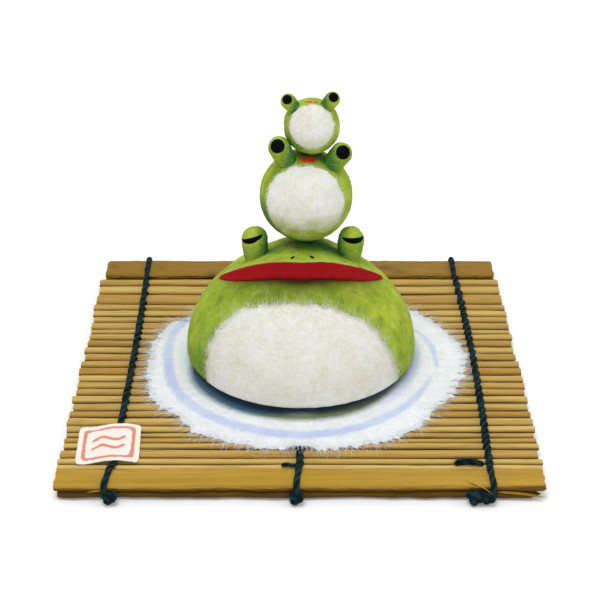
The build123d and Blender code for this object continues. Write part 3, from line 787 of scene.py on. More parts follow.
def pond_paint(tree, place, colour):
    """The pond's thin washes: a pale blue ring, an inner ring at the right, tints and a shadow."""
    edge = add(tree, "ShaderNodeTexNoise", {"Vector": place, "Scale": paint_edge, "Detail": 3.0})
    edge = add(tree, "ShaderNodeMath", {0: edge, 1: 0.5}, operation="SUBTRACT")
    turn = add(tree, "ShaderNodeAttribute", out=2, attribute_name="turn")
    ring = add(tree, "ShaderNodeAttribute", out=2, attribute_name="ring")
    ring = add(tree, "ShaderNodeMath", {0: ring}, operation="ABSOLUTE")
    ring = add(tree, "ShaderNodeMath", {0: edge, 1: 1.2, 2: ring}, operation="MULTIPLY_ADD")
    band = add(tree, "ShaderNodeMapRange", {"Value": ring, "From Min": 1.35, "From Max": 0.6})
    brush = add(tree, "ShaderNodeTexNoise", {"Vector": place, "Scale": brush_patch, "Detail": 4.0})
    uneven = add(tree, "ShaderNodeMapRange", {"Value": brush, "From Min": 0.35, "From Max": 0.6,
                                              "To Min": 0.7, "To Max": 1.05})
    wash = add(tree, "ShaderNodeAttribute", out=2, attribute_name="wash")
    band = add(tree, "ShaderNodeMath", {0: band, 1: wash}, operation="MULTIPLY")
    band = add(tree, "ShaderNodeMath", {0: band, 1: uneven}, operation="MULTIPLY", use_clamp=True)
    foot = add(tree, "ShaderNodeAttribute", out=2, attribute_name="foot")
    foot = add(tree, "ShaderNodeMath", {0: edge, 1: 1.5, 2: foot}, operation="MULTIPLY_ADD")
    left = add(tree, "ShaderNodeMapRange", {"Value": turn, "From Min": 0.6, "From Max": -0.4})
    tint = add(tree, "ShaderNodeMapRange", {"Value": foot, "From Min": 7.6, "From Max": 3.6, "To Max": 0.35})
    tint = add(tree, "ShaderNodeMath", {0: tint, 1: left}, operation="MULTIPLY")
    inner = add(tree, "ShaderNodeMapRange", {"Value": foot, "From Min": 6.4, "From Max": 4.4, "To Max": 0.6})
    right = add(tree, "ShaderNodeMapRange", {"Value": turn, "From Min": 0.5, "From Max": 1.0})
    inner = add(tree, "ShaderNodeMath", {0: inner, 1: right}, operation="MULTIPLY")
    layers = [(band, ring_blue), (tint, pond_turquoise), (inner, ring_blue)]
    for mark, paint, spread in (("olive", shadow_olive, 1.5), ("navy", shadow_navy, 1.6)):
        shadow = add(tree, "ShaderNodeAttribute", out=2, attribute_name=mark)
        shadow = add(tree, "ShaderNodeMath", {0: edge, 1: shadow}, operation="ADD")
        shadow = add(tree, "ShaderNodeMapRange", {"Value": shadow, "From Min": spread, "From Max": -spread,
                                                  "To Max": 0.95})
        layers.append((shadow, paint))
    for share, paint in layers:
        colour = add(tree, "ShaderNodeMix", {0: share, 6: colour, 7: linear(paint)}, out=2, data_type="RGBA")
    return colour


pond_shape = joined([(pond_points, pond_faces, pond_marks), (fringe_points, fringe_faces, fringe_marks)])
pond_washi = washi("painted_mulberry_paper", pond_white, pond_shade, pond_paint)
pond = piece("pond_sheet", pond_shape, pond_washi, crease=60)
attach(pond, "root")
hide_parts("pond_paper")

# Label. A small square of smooth paper with rounded corners, stuck over the left cord.
# Its print is a plain worn border with two brushed waves, in salmon.
label_thickness = 0.25
label_rim_thickness = 0.2
label_turn = 2.5
label_line = -61.7
label_columns = 240
label_rows = 24
label_rise = 1.3
label_run = 9.0
label_squareness = 14.0
label_white = "#F8F3EB"
label_salmon = "#E8876C"
print_wear = 600.0

turn = round_turns(label_columns)
rounded = np.abs(np.cos(turn)) ** label_squareness + np.abs(np.sin(turn)) ** label_squareness
reach = label_size / 2 / rounded ** (1 / label_squareness)
reach *= 1 + 0.004 * np.sin(11 * turn) + 0.004 * np.sin(17 * turn + 1)
tilt = radians(label_turn)
flat_x = reach * np.cos(turn)
flat_y = reach * np.sin(turn)
label_outline = np.stack([label_x + flat_x * cos(tilt) - flat_y * sin(tilt),
                          label_y + flat_x * sin(tilt) + flat_y * cos(tilt)], axis=-1)
label_points, label_faces = paper_sheet(label_outline, (label_x, label_y), label_thickness,
                                        label_rim_thickness, label_rows, label_line, label_rise, label_run)
off_x = label_points[:, 0] - label_x
off_y = label_points[:, 1] - label_y
label_marks = {"across": (off_x * cos(tilt) + off_y * sin(tilt)) / (label_size / 2),
               "along": (off_y * cos(tilt) - off_x * sin(tilt)) / (label_size / 2)}


def printed_label():
    """Coated label paper, smooth and slightly glossy, its print patchy like a rubber stamp's.

    The border is where the larger of the distances across and along, rounded at the
    corners, comes near 0.78 of the half size. The waves are two sine curves.
    """
    material, tree = new_material("printed_label_paper")
    place = add(tree, "ShaderNodeTexCoord", out=3)
    worn = add(tree, "ShaderNodeTexNoise", {"Vector": place, "Scale": print_wear, "Detail": 3.0})
    worn = add(tree, "ShaderNodeMath", {0: worn, 1: 0.5}, operation="SUBTRACT")
    across = add(tree, "ShaderNodeAttribute", out=2, attribute_name="across")
    along = add(tree, "ShaderNodeAttribute", out=2, attribute_name="along")
    far_x = add(tree, "ShaderNodeMath", {0: across}, operation="ABSOLUTE")
    far_y = add(tree, "ShaderNodeMath", {0: along}, operation="ABSOLUTE")
    square = add(tree, "ShaderNodeMath", {0: far_x, 1: far_y, 2: 0.3}, operation="SMOOTH_MAX")
    border = add(tree, "ShaderNodeMath", {0: worn, 1: 0.09, 2: square}, operation="MULTIPLY_ADD")
    border = add(tree, "ShaderNodeMath", {0: border, 1: 0.78}, operation="SUBTRACT")
    border = add(tree, "ShaderNodeMath", {0: border}, operation="ABSOLUTE")
    border = add(tree, "ShaderNodeMapRange", {"Value": border, "From Min": 0.068, "From Max": 0.048})
    wave = add(tree, "ShaderNodeMath", {0: across, 1: 7.0}, operation="MULTIPLY")
    wave = add(tree, "ShaderNodeMath", {0: wave}, operation="SINE")
    wave = add(tree, "ShaderNodeMath", {0: wave, 1: 0.10, 2: along}, operation="MULTIPLY_ADD")
    wave = add(tree, "ShaderNodeMath", {0: wave}, operation="ABSOLUTE")
    wave = add(tree, "ShaderNodeMath", {0: wave, 1: 0.22}, operation="SUBTRACT")
    wave = add(tree, "ShaderNodeMath", {0: wave}, operation="ABSOLUTE")
    wave = add(tree, "ShaderNodeMath", {0: worn, 1: 0.12, 2: wave}, operation="MULTIPLY_ADD")
    wave = add(tree, "ShaderNodeMapRange", {"Value": wave, "From Min": 0.09, "From Max": 0.065})
    inside = add(tree, "ShaderNodeMapRange", {"Value": far_x, "From Min": 0.56, "From Max": 0.5})
    wave = add(tree, "ShaderNodeMath", {0: wave, 1: inside}, operation="MULTIPLY")
    ink = add(tree, "ShaderNodeMath", {0: border, 1: wave}, operation="MAXIMUM")
    ink = add(tree, "ShaderNodeMath", {0: ink, 1: 0.95}, operation="MULTIPLY")
    colour = add(tree, "ShaderNodeMix", {0: ink, 6: linear(label_white), 7: linear(label_salmon)}, out=2,
                 data_type="RGBA")
    return finished(material, colour, 0.5, 0.2)


label = piece("label_sheet", (label_points, label_faces, label_marks), printed_label(), crease=60)
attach(label, "root")
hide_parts("paper_label")

# Large frog. A dome of paper clay under torn green paper, with painted shade in its
# hollows. Its upper lip juts out over a red paper mouth, and white paper covers
# its belly.
frog_z = corners_of("large_frog_body")[0][2]
dome_radius = 41.8
dome_height = 45.2
widest_height = 2.5
foot_round = 6.0
side_bulge = 2.2
crown_taper = 1.19
mouth_height = 37.4
mouth_drop = 16.0
mouth_turn = 102.0
mouth_corner = 3.5
face_width = 0.9
lip_height = 7.4
lip_fall = 3.2
lip_reach = 1.5
lip_edge = 0.4
lip_fade = 0.9
chin_recess = 4.1
chin_foot = 0.25
chin_curve = 0.8
seat_radius = 2.6
seat_rise = 0.3
seat_x = 1.7
seat_y = 4.5
body_columns = 320
foot_shares = (0.05, 0.5, 0.97)
body_levels = np.concatenate([np.linspace(-1, 0, 8), np.linspace(0, 1, 60)[1:]])
face_shares = np.linspace(0, 1, 12)[1:]
face_hollow = 0.5
head_levels = np.concatenate([[0.006, 0.014, 0.022], np.linspace(0.035, 1, 56)])
lip_bead = 0.35
lip_bead_run = 0.012
# How far back from the lip's edge its painted pale highlight fades
lip_highlight_run = 0.03
cheek_end = 0.12
paper_relief = 0.10
# Darker sides: turn from the front, width of turn, upper end, run below it, strength
darker_sides = ((-1.05, 0.35, 30.0, 22.0, 0.6), (1.2, 0.25, 20.0, 14.0, 0.3))
# Painted shade under the next ball and inside the eyes: centre, reach, strength
painted_shade_places = (((2.1, 8.0, 52.5), 9.0, 0.85), ((9.5, 2.0, 50.0), 7.0, 0.425),
                  ((-10.5, 2.0, 47.0), 4.5, 0.85), ((12.6, 2.0, 47.0), 5.0, 0.85))
green_light = "#B3C53C"
green_middle = "#8CA628"
green_dark = "#34702F"
green_fibre = "#C9D67E"
# The olive of the painted shadow close under the lip
lip_shadow_olive = "#352B09"
green_drift = 110.0
green_strokes = 260.0
green_web = 330.0
green_grain = 650.0


def radius_at(height):
    """The dome's radius at a height: a rounded foot, then a superellipse to the crown."""
    foot = dome_radius - foot_round * (1 - np.clip(height, 0, widest_height) / widest_height) ** 2
    share = np.clip((height - widest_height) / (dome_height - widest_height), 0, 1)
    return np.where(height < widest_height, foot, dome_radius * (1 - share**side_bulge) ** (1 / crown_taper))


def height_at(radius):
    """The dome's height at a radius, the inverse of radius_at above its widest ring."""
    share = np.clip(radius / dome_radius, 0, 1)
    return widest_height + (dome_height - widest_height) * (1 - share**crown_taper) ** (1 / side_bulge)


def facing(angle):
    """How far an angle from straight ahead still faces forward, 1 in front to 0."""
    return np.maximum(0, np.cos(face_width * angle))


def mouth_line(angle):
    """The radius and height of the mouth's lower edge: high in front, falling at the cheeks."""
    height = mouth_height - mouth_drop * (1 - np.exp(-((angle / radians(mouth_turn)) ** mouth_corner)))
    return radius_at(height) - chin_recess * facing(angle) ** 2, height


def lip_line(angle):
    """The radius and height of the lip's edge: it juts out, and its rise falls off at the cheeks."""
    radius, height = mouth_line(angle)
    rise = lip_height * (1 - np.minimum(face_width * angle / (pi / 2), 1) ** lip_fall)
    return radius + lip_reach * facing(angle) - lip_edge, height + rise + lip_edge


def body_ring(level, angle):
    """A ring of the body, from the foot's top at level 0 to the mouth line at 1; below 0, the foot."""
    top = mouth_line(angle)[1]
    height = np.where(level > 0, widest_height + level * (top - widest_height), widest_height * (1 + level))
    drawn_in = chin_foot + (1 - chin_foot) * (height / top) ** chin_curve
    return radius_at(height) - chin_recess * facing(angle) ** 2 * drawn_in, height


def face_ring(share, angle, below_lip=0.0):
    """A ring of the face, a little hollowed, from the mouth line at share 0 to the lip's edge at 1."""
    low_radius, low_height = mouth_line(angle)
    high_radius, high_height = lip_line(angle)
    hollow = face_hollow * facing(angle) * np.sin(pi * share)
    return (low_radius + (high_radius - low_radius) * share - hollow,
            low_height + (high_height - below_lip - low_height) * share)


def head_ring(level, angle):
    """A ring of the head, from the lip's edge at level 0 to the next frog's seat at 1."""
    lip_radius, height = lip_line(angle)
    radius = seat_radius + (lip_radius - seat_radius) * (1 - level)
    lift = height - height_at(lip_radius)
    raised = height_at(radius) + lift * (1 - level) ** lip_fade
    return radius, np.where(level == 1, dome_height + seat_rise, raised)


def round_dome(radius, height, turn, shift=0.0):
    """A point of the dome from its radius, height and turn from the front, towards +X."""
    return np.stack([frog_x + seat_x * shift**2 + radius * np.sin(turn),
                     frog_y + seat_y * shift**2 - radius * np.cos(turn), frog_z + height], axis=-1)


def papered(points, faces, relief, seed, scale=3.2):
    """Points moved a little along their normals, as layers of torn paper swell and wrinkle."""
    a, b, c = (points[faces[:, k]] for k in range(3))
    face_normals = np.cross(b - a, c - a)
    normals = np.zeros_like(points)
    for k in range(3):
        np.add.at(normals, faces[:, k], face_normals)
    swell = 0.6 * wander(points, 3 * scale, seed) + 0.3 * wander(points, scale, seed + 1)
    swell += 0.15 * wander(points, 0.35 * scale, seed + 2)
    return points + unit(normals) * (relief * swell)[:, None]


def near(points, centre, reach):
    """1 at a centre, falling smoothly to 0 past the reach: e to minus the squared share of it."""
    away = np.linalg.norm(points - np.array(centre), axis=-1)
    return np.exp(-((away / reach) ** 2))


turn = round_turns(body_columns)
angle = np.minimum(turn, 2 * pi - turn)
foot_radius = body_ring(-1.0, angle)[0]
rows = [(share * foot_radius, 0 * turn, 0.0, 0.0) for share in foot_shares]
rows += [(*body_ring(level, angle), 0.0, 0.0) for level in body_levels]
rows += [(*face_ring(share, angle), 0.0, share**8) for share in face_shares]
for level in head_levels:
    radius, height = head_ring(level, angle)
    bead = lip_bead * facing(angle) * np.exp(-((level / lip_bead_run) ** 2))
    rows.append((radius + bead, height, level, np.exp(-((level / lip_highlight_run) ** 2))))
body_rings = np.array([round_dome(radius, height, turn, shift) for radius, height, shift, _ in rows])
body_points, body_faces = closed_skin(body_rings)
# The lip mark: a painted pale highlight along the lip's edge, where it catches the light
row_marks = np.array([mark for *_, mark in rows])
lip_highlight_marks = row_marks[:, None] * (facing(angle) > cheek_end)
lip_highlight_marks = np.concatenate([lip_highlight_marks.ravel(), [0, 0]])
at_foot = body_points[:, 2] < frog_z + 0.3
body_points = papered(body_points, body_faces, paper_relief, 60)
body_points[at_foot, 2] = np.maximum(body_points[at_foot, 2], frog_z)

front_turn = np.arctan2(body_points[:, 0] - frog_x, frog_y - body_points[:, 1])
below_mouth = mouth_line(np.abs(front_turn))[1] + frog_z - body_points[:, 2]
on_body = below_mouth > -0.4
below_mouth = np.clip(below_mouth, 0, None)
# Painted olive shadow close under the lip, where it overhangs the chin
under_lip_shadow = 0.8 * np.exp(-below_mouth / 1.2) + 0.55 * np.exp(-below_mouth / 5.0)
under_lip_shadow *= on_body * facing(0.95 * front_turn)
# Painted shade under the lip and along the foot, then darker sides, and painted shade under the next ball and
# inside the eyes
body_shade = 0.45 * on_body * np.exp(-below_mouth / 3.2) * facing(1.05 * front_turn)
body_shade += 0.4 * np.clip((frog_z + 3 - body_points[:, 2]) / 3, 0, 1)
for side_turn, width, upper_end, run, strength in darker_sides:
    beside = np.exp(-(((front_turn - side_turn) / width) ** 2))
    body_shade += strength * beside * np.clip((upper_end - body_points[:, 2]) / run, 0, 1)
for place, reach, strength in painted_shade_places:
    body_shade += strength * near(body_points, place, reach)
body_marks = {"shade": np.clip(body_shade, 0, 1), "lip_shadow": np.clip(under_lip_shadow, 0, 1), "lip": 0.8 * lip_highlight_marks}


def green_washi(name):
    """Mulberry paper pasted over clay and brushed green: mottled, with pale fibres showing.

    The wash drifts between two greens. The shade mark is painted shade under the lip, along
    the foot, on undersides, under the next ball and round the eyes' stubs, and it darkens some
    sides too, broken up by the paper's grain. A painted olive shadow lies close under the lip,
    and a painted pale highlight along its edge. Fibres are thin bands of a twisted noise.
    """
    material, tree = new_material(name)
    place = add(tree, "ShaderNodeTexCoord", out=3)
    drift = add(tree, "ShaderNodeTexNoise", {"Vector": place, "Scale": green_drift, "Detail": 5.0,
                                             "Roughness": 0.6})
    grain = add(tree, "ShaderNodeTexNoise", {"Vector": place, "Scale": green_grain, "Detail": 4.0,
                                             "Roughness": 0.65})
    strands = fibre_web(tree, place, green_web, 1.5, 0.022, 0.45)
    wash = add(tree, "ShaderNodeMapRange", {"Value": drift, "From Min": 0.36, "From Max": 0.64})
    drawn = add(tree, "ShaderNodeMapping", {"Vector": place, "Scale": (1.0, 1.0, 0.4)})
    strokes = add(tree, "ShaderNodeTexNoise", {"Vector": drawn, "Scale": green_strokes, "Detail": 5.0,
                                               "Roughness": 0.7})
    dim = add(tree, "ShaderNodeMapRange", {"Value": strokes, "From Min": 0.53, "From Max": 0.74,
                                           "To Max": 0.65})
    bright = add(tree, "ShaderNodeMapRange", {"Value": strokes, "From Min": 0.46, "From Max": 0.28,
                                              "To Max": 0.6})
    shade = add(tree, "ShaderNodeAttribute", out=2, attribute_name="shade")
    rough = add(tree, "ShaderNodeMath", {0: grain, 1: -0.55, 2: 0.28}, operation="MULTIPLY_ADD")
    rough = add(tree, "ShaderNodeMath", {0: rough, 1: shade}, operation="ADD")
    rough = add(tree, "ShaderNodeMapRange", {"Value": rough, "From Min": 0.06, "From Max": 0.9,
                                             "To Max": 0.95})
    lip_shadow = add(tree, "ShaderNodeAttribute", out=2, attribute_name="lip_shadow")
    lip = add(tree, "ShaderNodeAttribute", out=2, attribute_name="lip")
    colour = linear(green_middle)
    for share, paint in ((wash, green_light), (dim, green_dark), (bright, green_fibre), (rough, green_dark),
                         (strands, green_fibre), (lip_shadow, lip_shadow_olive), (lip, green_fibre)):
        colour = add(tree, "ShaderNodeMix", {0: share, 6: colour, 7: linear(paint)}, out=2, data_type="RGBA")
    relief = add(tree, "ShaderNodeMath", {0: grain, 1: 1.2, 2: strands}, operation="MULTIPLY_ADD")
    return finished(material, colour, 0.8, 0.1, relief, 0.55)


frog_green = green_washi("green_mulberry_paper")
large_body = piece("large_frog_papered_body", (body_points, body_faces, body_marks), frog_green)
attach(large_body, "root")
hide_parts("large_frog_body")

# Large frog's mouth. Red mulberry paper pasted on the face under the lip, from cheek to
# cheek, and tucked in along its lower edge.
mouth_span = 96.0
mouth_columns = 120
mouth_rows = 10
mouth_lift = 0.25
mouth_sunk = 0.4
mouth_grain = 500.0
mouth_red = "#B0151C"
# The red of the mouth's painted shade
mouth_shade_red = "#740C14"

turn = np.linspace(-radians(mouth_span), radians(mouth_span), mouth_columns)
share = np.concatenate([np.linspace(0, 1, mouth_rows), np.linspace(1, 0, mouth_rows)])
lift = np.repeat([mouth_lift, -mouth_sunk], mouth_rows)
radius, height = face_ring(share, np.abs(turn)[:, None], lip_edge)
mouth_points, mouth_faces = closed_skin(round_dome(radius + lift, height, turn[:, None]))
mouth_up = np.concatenate([np.tile(share, mouth_columns), [0.5, 0.5]])


def red_washi():
    """Red mulberry paper: deep and dull, with painted shade darkening it towards its lower edge."""
    material, tree = new_material("red_mulberry_paper")
    place = add(tree, "ShaderNodeTexCoord", out=3)
    grain = add(tree, "ShaderNodeTexNoise", {"Vector": place, "Scale": mouth_grain, "Detail": 4.0})
    up = add(tree, "ShaderNodeAttribute", out=2, attribute_name="up")
    # Painted shade, darker towards the mouth's lower edge
    deep = add(tree, "ShaderNodeMath", {0: grain, 1: 0.5, 2: up}, operation="MULTIPLY_ADD")
    deep = add(tree, "ShaderNodeMapRange", {"Value": deep, "From Min": 0.55, "From Max": 0.2})
    colour = add(tree, "ShaderNodeMix", {0: deep, 6: linear(mouth_red), 7: linear(mouth_shade_red)}, out=2,
                 data_type="RGBA")
    return finished(material, colour, 0.75, 0.1, grain, 0.4)


large_mouth = piece("large_frog_red_mouth", (mouth_points, mouth_faces, {"up": mouth_up}), red_washi())
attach(large_mouth, "root")
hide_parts("large_frog_mouth_paper")

# Large frog's belly. White paper torn to a rounded outline, its fibres smoothed out over
# the green.
belly_outline = ((-0.785, -0.02), (-0.800, 0.214), (-0.775, 0.415), (-0.680, 0.590),
                 (-0.531, 0.740), (-0.421, 0.800), (-0.270, 0.838), (-0.105, 0.862),
                 (0.150, 0.850), (0.290, 0.805), (0.410, 0.750), (0.520, 0.685),
                 (0.620, 0.590), (0.700, 0.470), (0.765, 0.320), (0.812, 0.160), (0.830, -0.02))
belly_columns = 420
belly_rows = 44
belly_lift = 0.3
belly_edge_lift = 0.15
belly_sunk = 0.5
belly_foot = 0.15
belly_fibres = 4200
stray_fibres = 160
belly_hair = 0.055
hair_stations = 4
belly_white = "#EDEFEB"
belly_cream = "#DEDCC8"


def on_dome(x, height, lift=0.0):
    """The point of the dome's front at a place to the side and a height, found by repeated guesses."""
    angle = np.arcsin(np.clip(x / dome_radius, -1, 1))
    for _ in range(12):
        top = mouth_line(np.abs(angle))[1]
        level = np.clip((height - widest_height) / (top - widest_height), 0, 1)
        low = np.clip(height / widest_height - 1, -1, 0)
        radius = body_ring(np.where(height > widest_height, level, low), np.abs(angle))[0] + lift
        angle = np.arcsin(np.clip(x / radius, -0.999, 0.999))
    return round_dome(radius, height, angle)


def hairs_along(lines, outs, radius):
    """Fine hairs along given lines that lie on a surface, with its outward ways at their points."""
    ways = unit(np.gradient(lines, axis=1))
    return *hair_mesh(lines, np.cross(ways, outs), outs, radius), {"stain": 0.0}


outline = np.array(belly_outline) * (dome_radius, mouth_height)
outline = np.concatenate([outline, outline[:1]])
run = run_along(outline)
even = np.linspace(0, run[-1], belly_columns, endpoint=False)
belly_rim = np.stack([np.interp(even, run, outline[:, k]) for k in (0, 1)], axis=-1)
for _ in range(6):
    belly_rim = (np.roll(belly_rim, 1, axis=0) + belly_rim * 2 + np.roll(belly_rim, -1, axis=0)) / 4
belly_middle = np.array((0.02 * dome_radius, 0.40 * mouth_height))
around = 100 * np.arange(belly_columns)[:, None] / belly_columns
tear = 0.006 * wander(around, 4.0, 71) + 0.005 * np.abs(wander(around, 0.5, 72))
tear = tear * np.clip((belly_rim[:, 1] - 1.5) / 4, 0, 1)
belly_share = np.concatenate([[0.02], np.linspace(0.06, 1, belly_rows)])
grown = belly_share[:, None] * (1 + tear)
flat = belly_middle + (belly_rim - belly_middle) * grown[..., None]
flat[..., 1] = np.maximum(flat[..., 1], belly_foot)
feather = belly_lift * (1 - np.clip((belly_share - 0.7) / 0.3, 0, 1) ** 2)[:, None] + belly_edge_lift
over = on_dome(flat[..., 0], flat[..., 1], feather + 0.03 * wander(flat, 3.5, 73))
under = on_dome(flat[::-6, :, 0], flat[::-6, :, 1], -belly_sunk)
belly_points, belly_faces = closed_skin(np.concatenate([over, under]))
edge_stain = 0.5 * np.clip((belly_share - 0.96) / 0.04, 0, 1) ** 2
edge_stain = np.concatenate([edge_stain, np.zeros(len(under))])
edge_stain = np.concatenate([np.repeat(edge_stain, belly_columns), [0, 0]])

belly_rng = np.random.default_rng(74)
away = belly_rim[belly_rng.integers(0, belly_columns, belly_fibres)] - belly_middle
roots = belly_middle + away * belly_rng.uniform(0.96, 1.01, belly_fibres)[:, None]
root_x = roots[:, :1]
root_h = np.maximum(roots[:, 1:], 0.4)
fan = np.arctan2(away[:, 1], away[:, 0]) + belly_rng.normal(0, 0.75, belly_fibres)
length = belly_rng.gamma(2.2, 0.5, belly_fibres).clip(0.4, 3.0) * np.clip(root_h[:, 0] / 6, 0.25, 1)
length[-stray_fibres:] += belly_rng.uniform(1.0, 2.6, stray_fibres)
share = np.linspace(0, 1, hair_stations)[None]
bend = belly_rng.normal(0, 0.25, belly_fibres)[:, None]
line_x = root_x + length[:, None] * share * np.cos(fan[:, None] + bend * share)
line_h = np.maximum(root_h + length[:, None] * share * np.sin(fan[:, None] + bend * share), 0.3)
below_lip = line_h < mouth_line(np.abs(np.arcsin(np.clip(line_x / dome_radius, -1, 1))))[1] - 0.6
line_h = np.where(below_lip, line_h, line_h[:, :1])
hair_lines = on_dome(line_x, line_h, 0.24 + 0.12 * share)
hair_outs = unit(on_dome(line_x, line_h, 1.2) - hair_lines)

belly_sheet = (belly_points, belly_faces, {"stain": edge_stain})
white_washi = washi("white_mulberry_paper", belly_white, belly_cream)
belly_hairs = hairs_along(hair_lines, hair_outs, belly_hair)
large_belly = piece("large_frog_white_belly", joined([belly_sheet, belly_hairs]), white_washi, crease=60)
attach(large_belly, "root")
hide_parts("large_frog_belly_paper")

# Middle and small frogs. Balls of paper clay papered like the large one, each with a
# round of white paper on its front.
ball_columns = 160
ball_rows = 80
cap_columns = 160
cap_rows = 26
cap_lift = 0.25
cap_edge_lift = 0.03
cap_torn = 0.016
middle_centre = np.array((2.1, 9.0, 68.49))
middle_radius = 16.3
small_centre = np.array((4.0, 10.2, 94.1))
small_radius = 9.7
lower_left_way = np.array((-0.63, -0.40, -0.67))
middle_crown = (3.5, 8.5, 84.5)
# Balls: name, centre, radius, the belly's turn, rise and spread in degrees, how much its
# lower part is stained and darkened by painted shade, how dark the ball's lower left is,
# fibres, seed
balls = (
    ("middle", middle_centre, middle_radius, -2.3, 9.0, 55.0, 1.0, 0.95, 900, 81),
    ("small", small_centre, small_radius, 0.0, 21.5, 50.5, 0.3, 0.4, 400, 91),
)


def ball(centre, radius, seed):
    """A papered ball: rings from pole to pole, with the swelling of torn paper."""
    height = np.linspace(-pi / 2, pi / 2, ball_rows + 2)[1:-1]
    turn = round_turns(ball_columns)
    rings = np.stack([np.cos(height)[:, None] * np.sin(turn), -np.cos(height)[:, None] * np.cos(turn),
                      np.broadcast_to(np.sin(height)[:, None], (ball_rows, ball_columns))], axis=-1)
    points, faces = closed_skin(centre + radius * rings)
    return papered(points, faces, paper_relief, seed), faces


def ball_marks(points, centre, radius, low_side):
    """Where a ball is darker green: towards its lower left, and a painted shade on its underside."""
    way = (points - centre) / radius
    lower_left = np.clip((way @ lower_left_way - 0.56) / 0.3, 0, 1)
    under = np.clip((-way[:, 2] - 0.75) / 0.2, 0, 1)
    return {"shade": np.clip(low_side * lower_left + 0.7 * under, 0, 1), "lip": 0.0}


def aim(side, rise):
    """The three axes of a view from the front, turned aside and up: right, up and outwards."""
    side, rise = radians(side), radians(rise)
    out = np.array((sin(side) * cos(rise), -cos(side) * cos(rise), sin(rise)))
    right = np.array((cos(side), sin(side), 0.0))
    return right, np.cross(out, right), out


def opened(aimed, around, open_angle):
    """Ways that open from an aim's outward way by an angle, each at a turn around it."""
    right, up, out = aimed
    across = np.cos(around)[..., None] * right + np.sin(around)[..., None] * up
    return np.sin(open_angle)[..., None] * across + np.cos(open_angle)[..., None] * out


def patch_on(centre, ways, radius, thick, sunk):
    """A closed patch over a ball: rings of ways carried out past the radius, then back below it."""
    over = centre + ways * (radius + thick)[..., None]
    under = centre + ways[::-3] * (radius - sunk)
    return closed_skin(np.concatenate([over, under]))


def cap_edge(spread, seed):
    """How far a cap opens at each turn, in radians: its spread, unevenly torn."""
    turn = round_turns(cap_columns)
    wave = 6 * np.stack([np.cos(turn), np.sin(turn)], axis=-1)
    tear = cap_torn * wander(wave, 3.0, seed) + 0.5 * cap_torn * np.abs(wander(wave, 0.6, seed + 1))
    return radians(spread) * (1 + tear)


def cap(centre, radius, aimed, edge):
    """A round of paper on a ball: rings about the aim, out to a torn edge where it thins."""
    share = np.linspace(0.02, 1, cap_rows)[:, None]
    ways = opened(aimed, round_turns(cap_columns), edge * share)
    thick = cap_lift * (1 - np.clip((share - 0.8) / 0.2, 0, 1) ** 2) + cap_edge_lift
    return patch_on(centre, ways, radius, thick, 0.5)


def cap_fringe(centre, radius, aimed, edge, count, seed):
    """Short fibres round a cap's edge, lying on the ball."""
    rng = np.random.default_rng(seed)
    reach = 0.035 * radius + 0.2
    at = rng.uniform(0, 2 * pi, count)
    start = np.interp(at, round_turns(cap_columns), edge, period=2 * pi) * rng.uniform(0.9, 1.0, count)
    length = rng.gamma(3.0, reach / 3, count).clip(0.2, 3 * reach)[:, None] / radius
    drift = rng.normal(0, 0.5, count)[:, None]
    share = np.linspace(0, 1, 5)[None]
    around = at[:, None] + drift * length * share / np.sin(start)[:, None]
    ways = opened(aimed, around, start[:, None] + length * share)
    lines = centre + ways * (radius + 0.16 + 0.1 * share)[..., None]
    return hairs_along(lines, ways, fringe_radius)[:2]


for frog, centre, radius, turned, rise, spread, low_stain_and_shade, low_side, count, seed in balls:
    ball_points, ball_faces = ball(centre, radius, seed)
    marks = ball_marks(ball_points, centre, radius, low_side)
    # Painted shade on the middle ball's crown, under the small ball
    if frog == "middle":
        marks["shade"] = np.clip(marks["shade"] + near(ball_points, middle_crown, 6.5), 0, 1)
    ball_body = piece(frog + "_frog_papered_ball", (ball_points, ball_faces, marks), frog_green)
    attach(ball_body, "root")
    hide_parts(frog + "_frog_body")
    aimed = aim(turned, rise)
    edge = cap_edge(spread, seed + 2)
    papers = []
    for points, faces in (cap(centre, radius, aimed, edge),
                          cap_fringe(centre, radius, aimed, edge, count, seed + 4)):
        # Each belly is stained and darkened by painted shade towards the bottom
        low = (centre[2] - points[:, 2]) / radius
        papers.append((points, faces, {"stain": low_stain_and_shade * np.clip(low / 0.5, 0, 1)}))
    ball_belly = piece(frog + "_frog_white_belly", joined(papers), white_washi, crease=60)
    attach(ball_belly, "root")
    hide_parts(frog + "_frog_belly_paper")

# Small mouths. Half-moons of thick poster paint, brushed on high up on the two balls: red
# on the middle one, orange on the small one.
paint_base = 0.17
paint_brush = 900.0
# Smiles: name, centre, radius, turn and rise in degrees, width, depth, thickness, seed,
# then the paint's name and its two tones
smiles = (
    ("middle", middle_centre + (0.3, 0, 0), middle_radius, 4.0, 76.0, 6.1, 2.3, 0.1, 85,
     "red_poster_paint", "#E63A1C", "#C92C15"),
    ("small", small_centre - (0.3, 0, 0), small_radius, 0.0, 82.0, 4.4, 1.3, 0.06, 95,
     "orange_poster_paint", "#D08A36", "#B96A2A"),
)


def half_moon(centre, radius, side, rise, width, depth, lift, seed):
    """A half-moon patch on a ball: straight above, bowed below, slightly domed."""
    right, up, out = aim(side, rise)
    turn = round_turns(60)
    x = width / 2 * np.cos(turn)
    y = depth * np.sin(turn) * np.where(np.sin(turn) < 0, 1, 0.12)
    y = y + 0.04 * depth * wander(np.stack([x, y], axis=-1), 1.2, seed)
    share = np.linspace(0.03, 1, 8)[:, None]
    middle_y = -0.3 * depth
    across = x * share
    along = middle_y + (y - middle_y) * share
    ways = unit(out + (across[..., None] * right + along[..., None] * up) / radius)
    thick = paint_base + lift * np.sqrt(np.clip(1 - share**4, 0, 1)) + 0.02
    return *patch_on(centre, ways, radius, thick, 0.4), {}


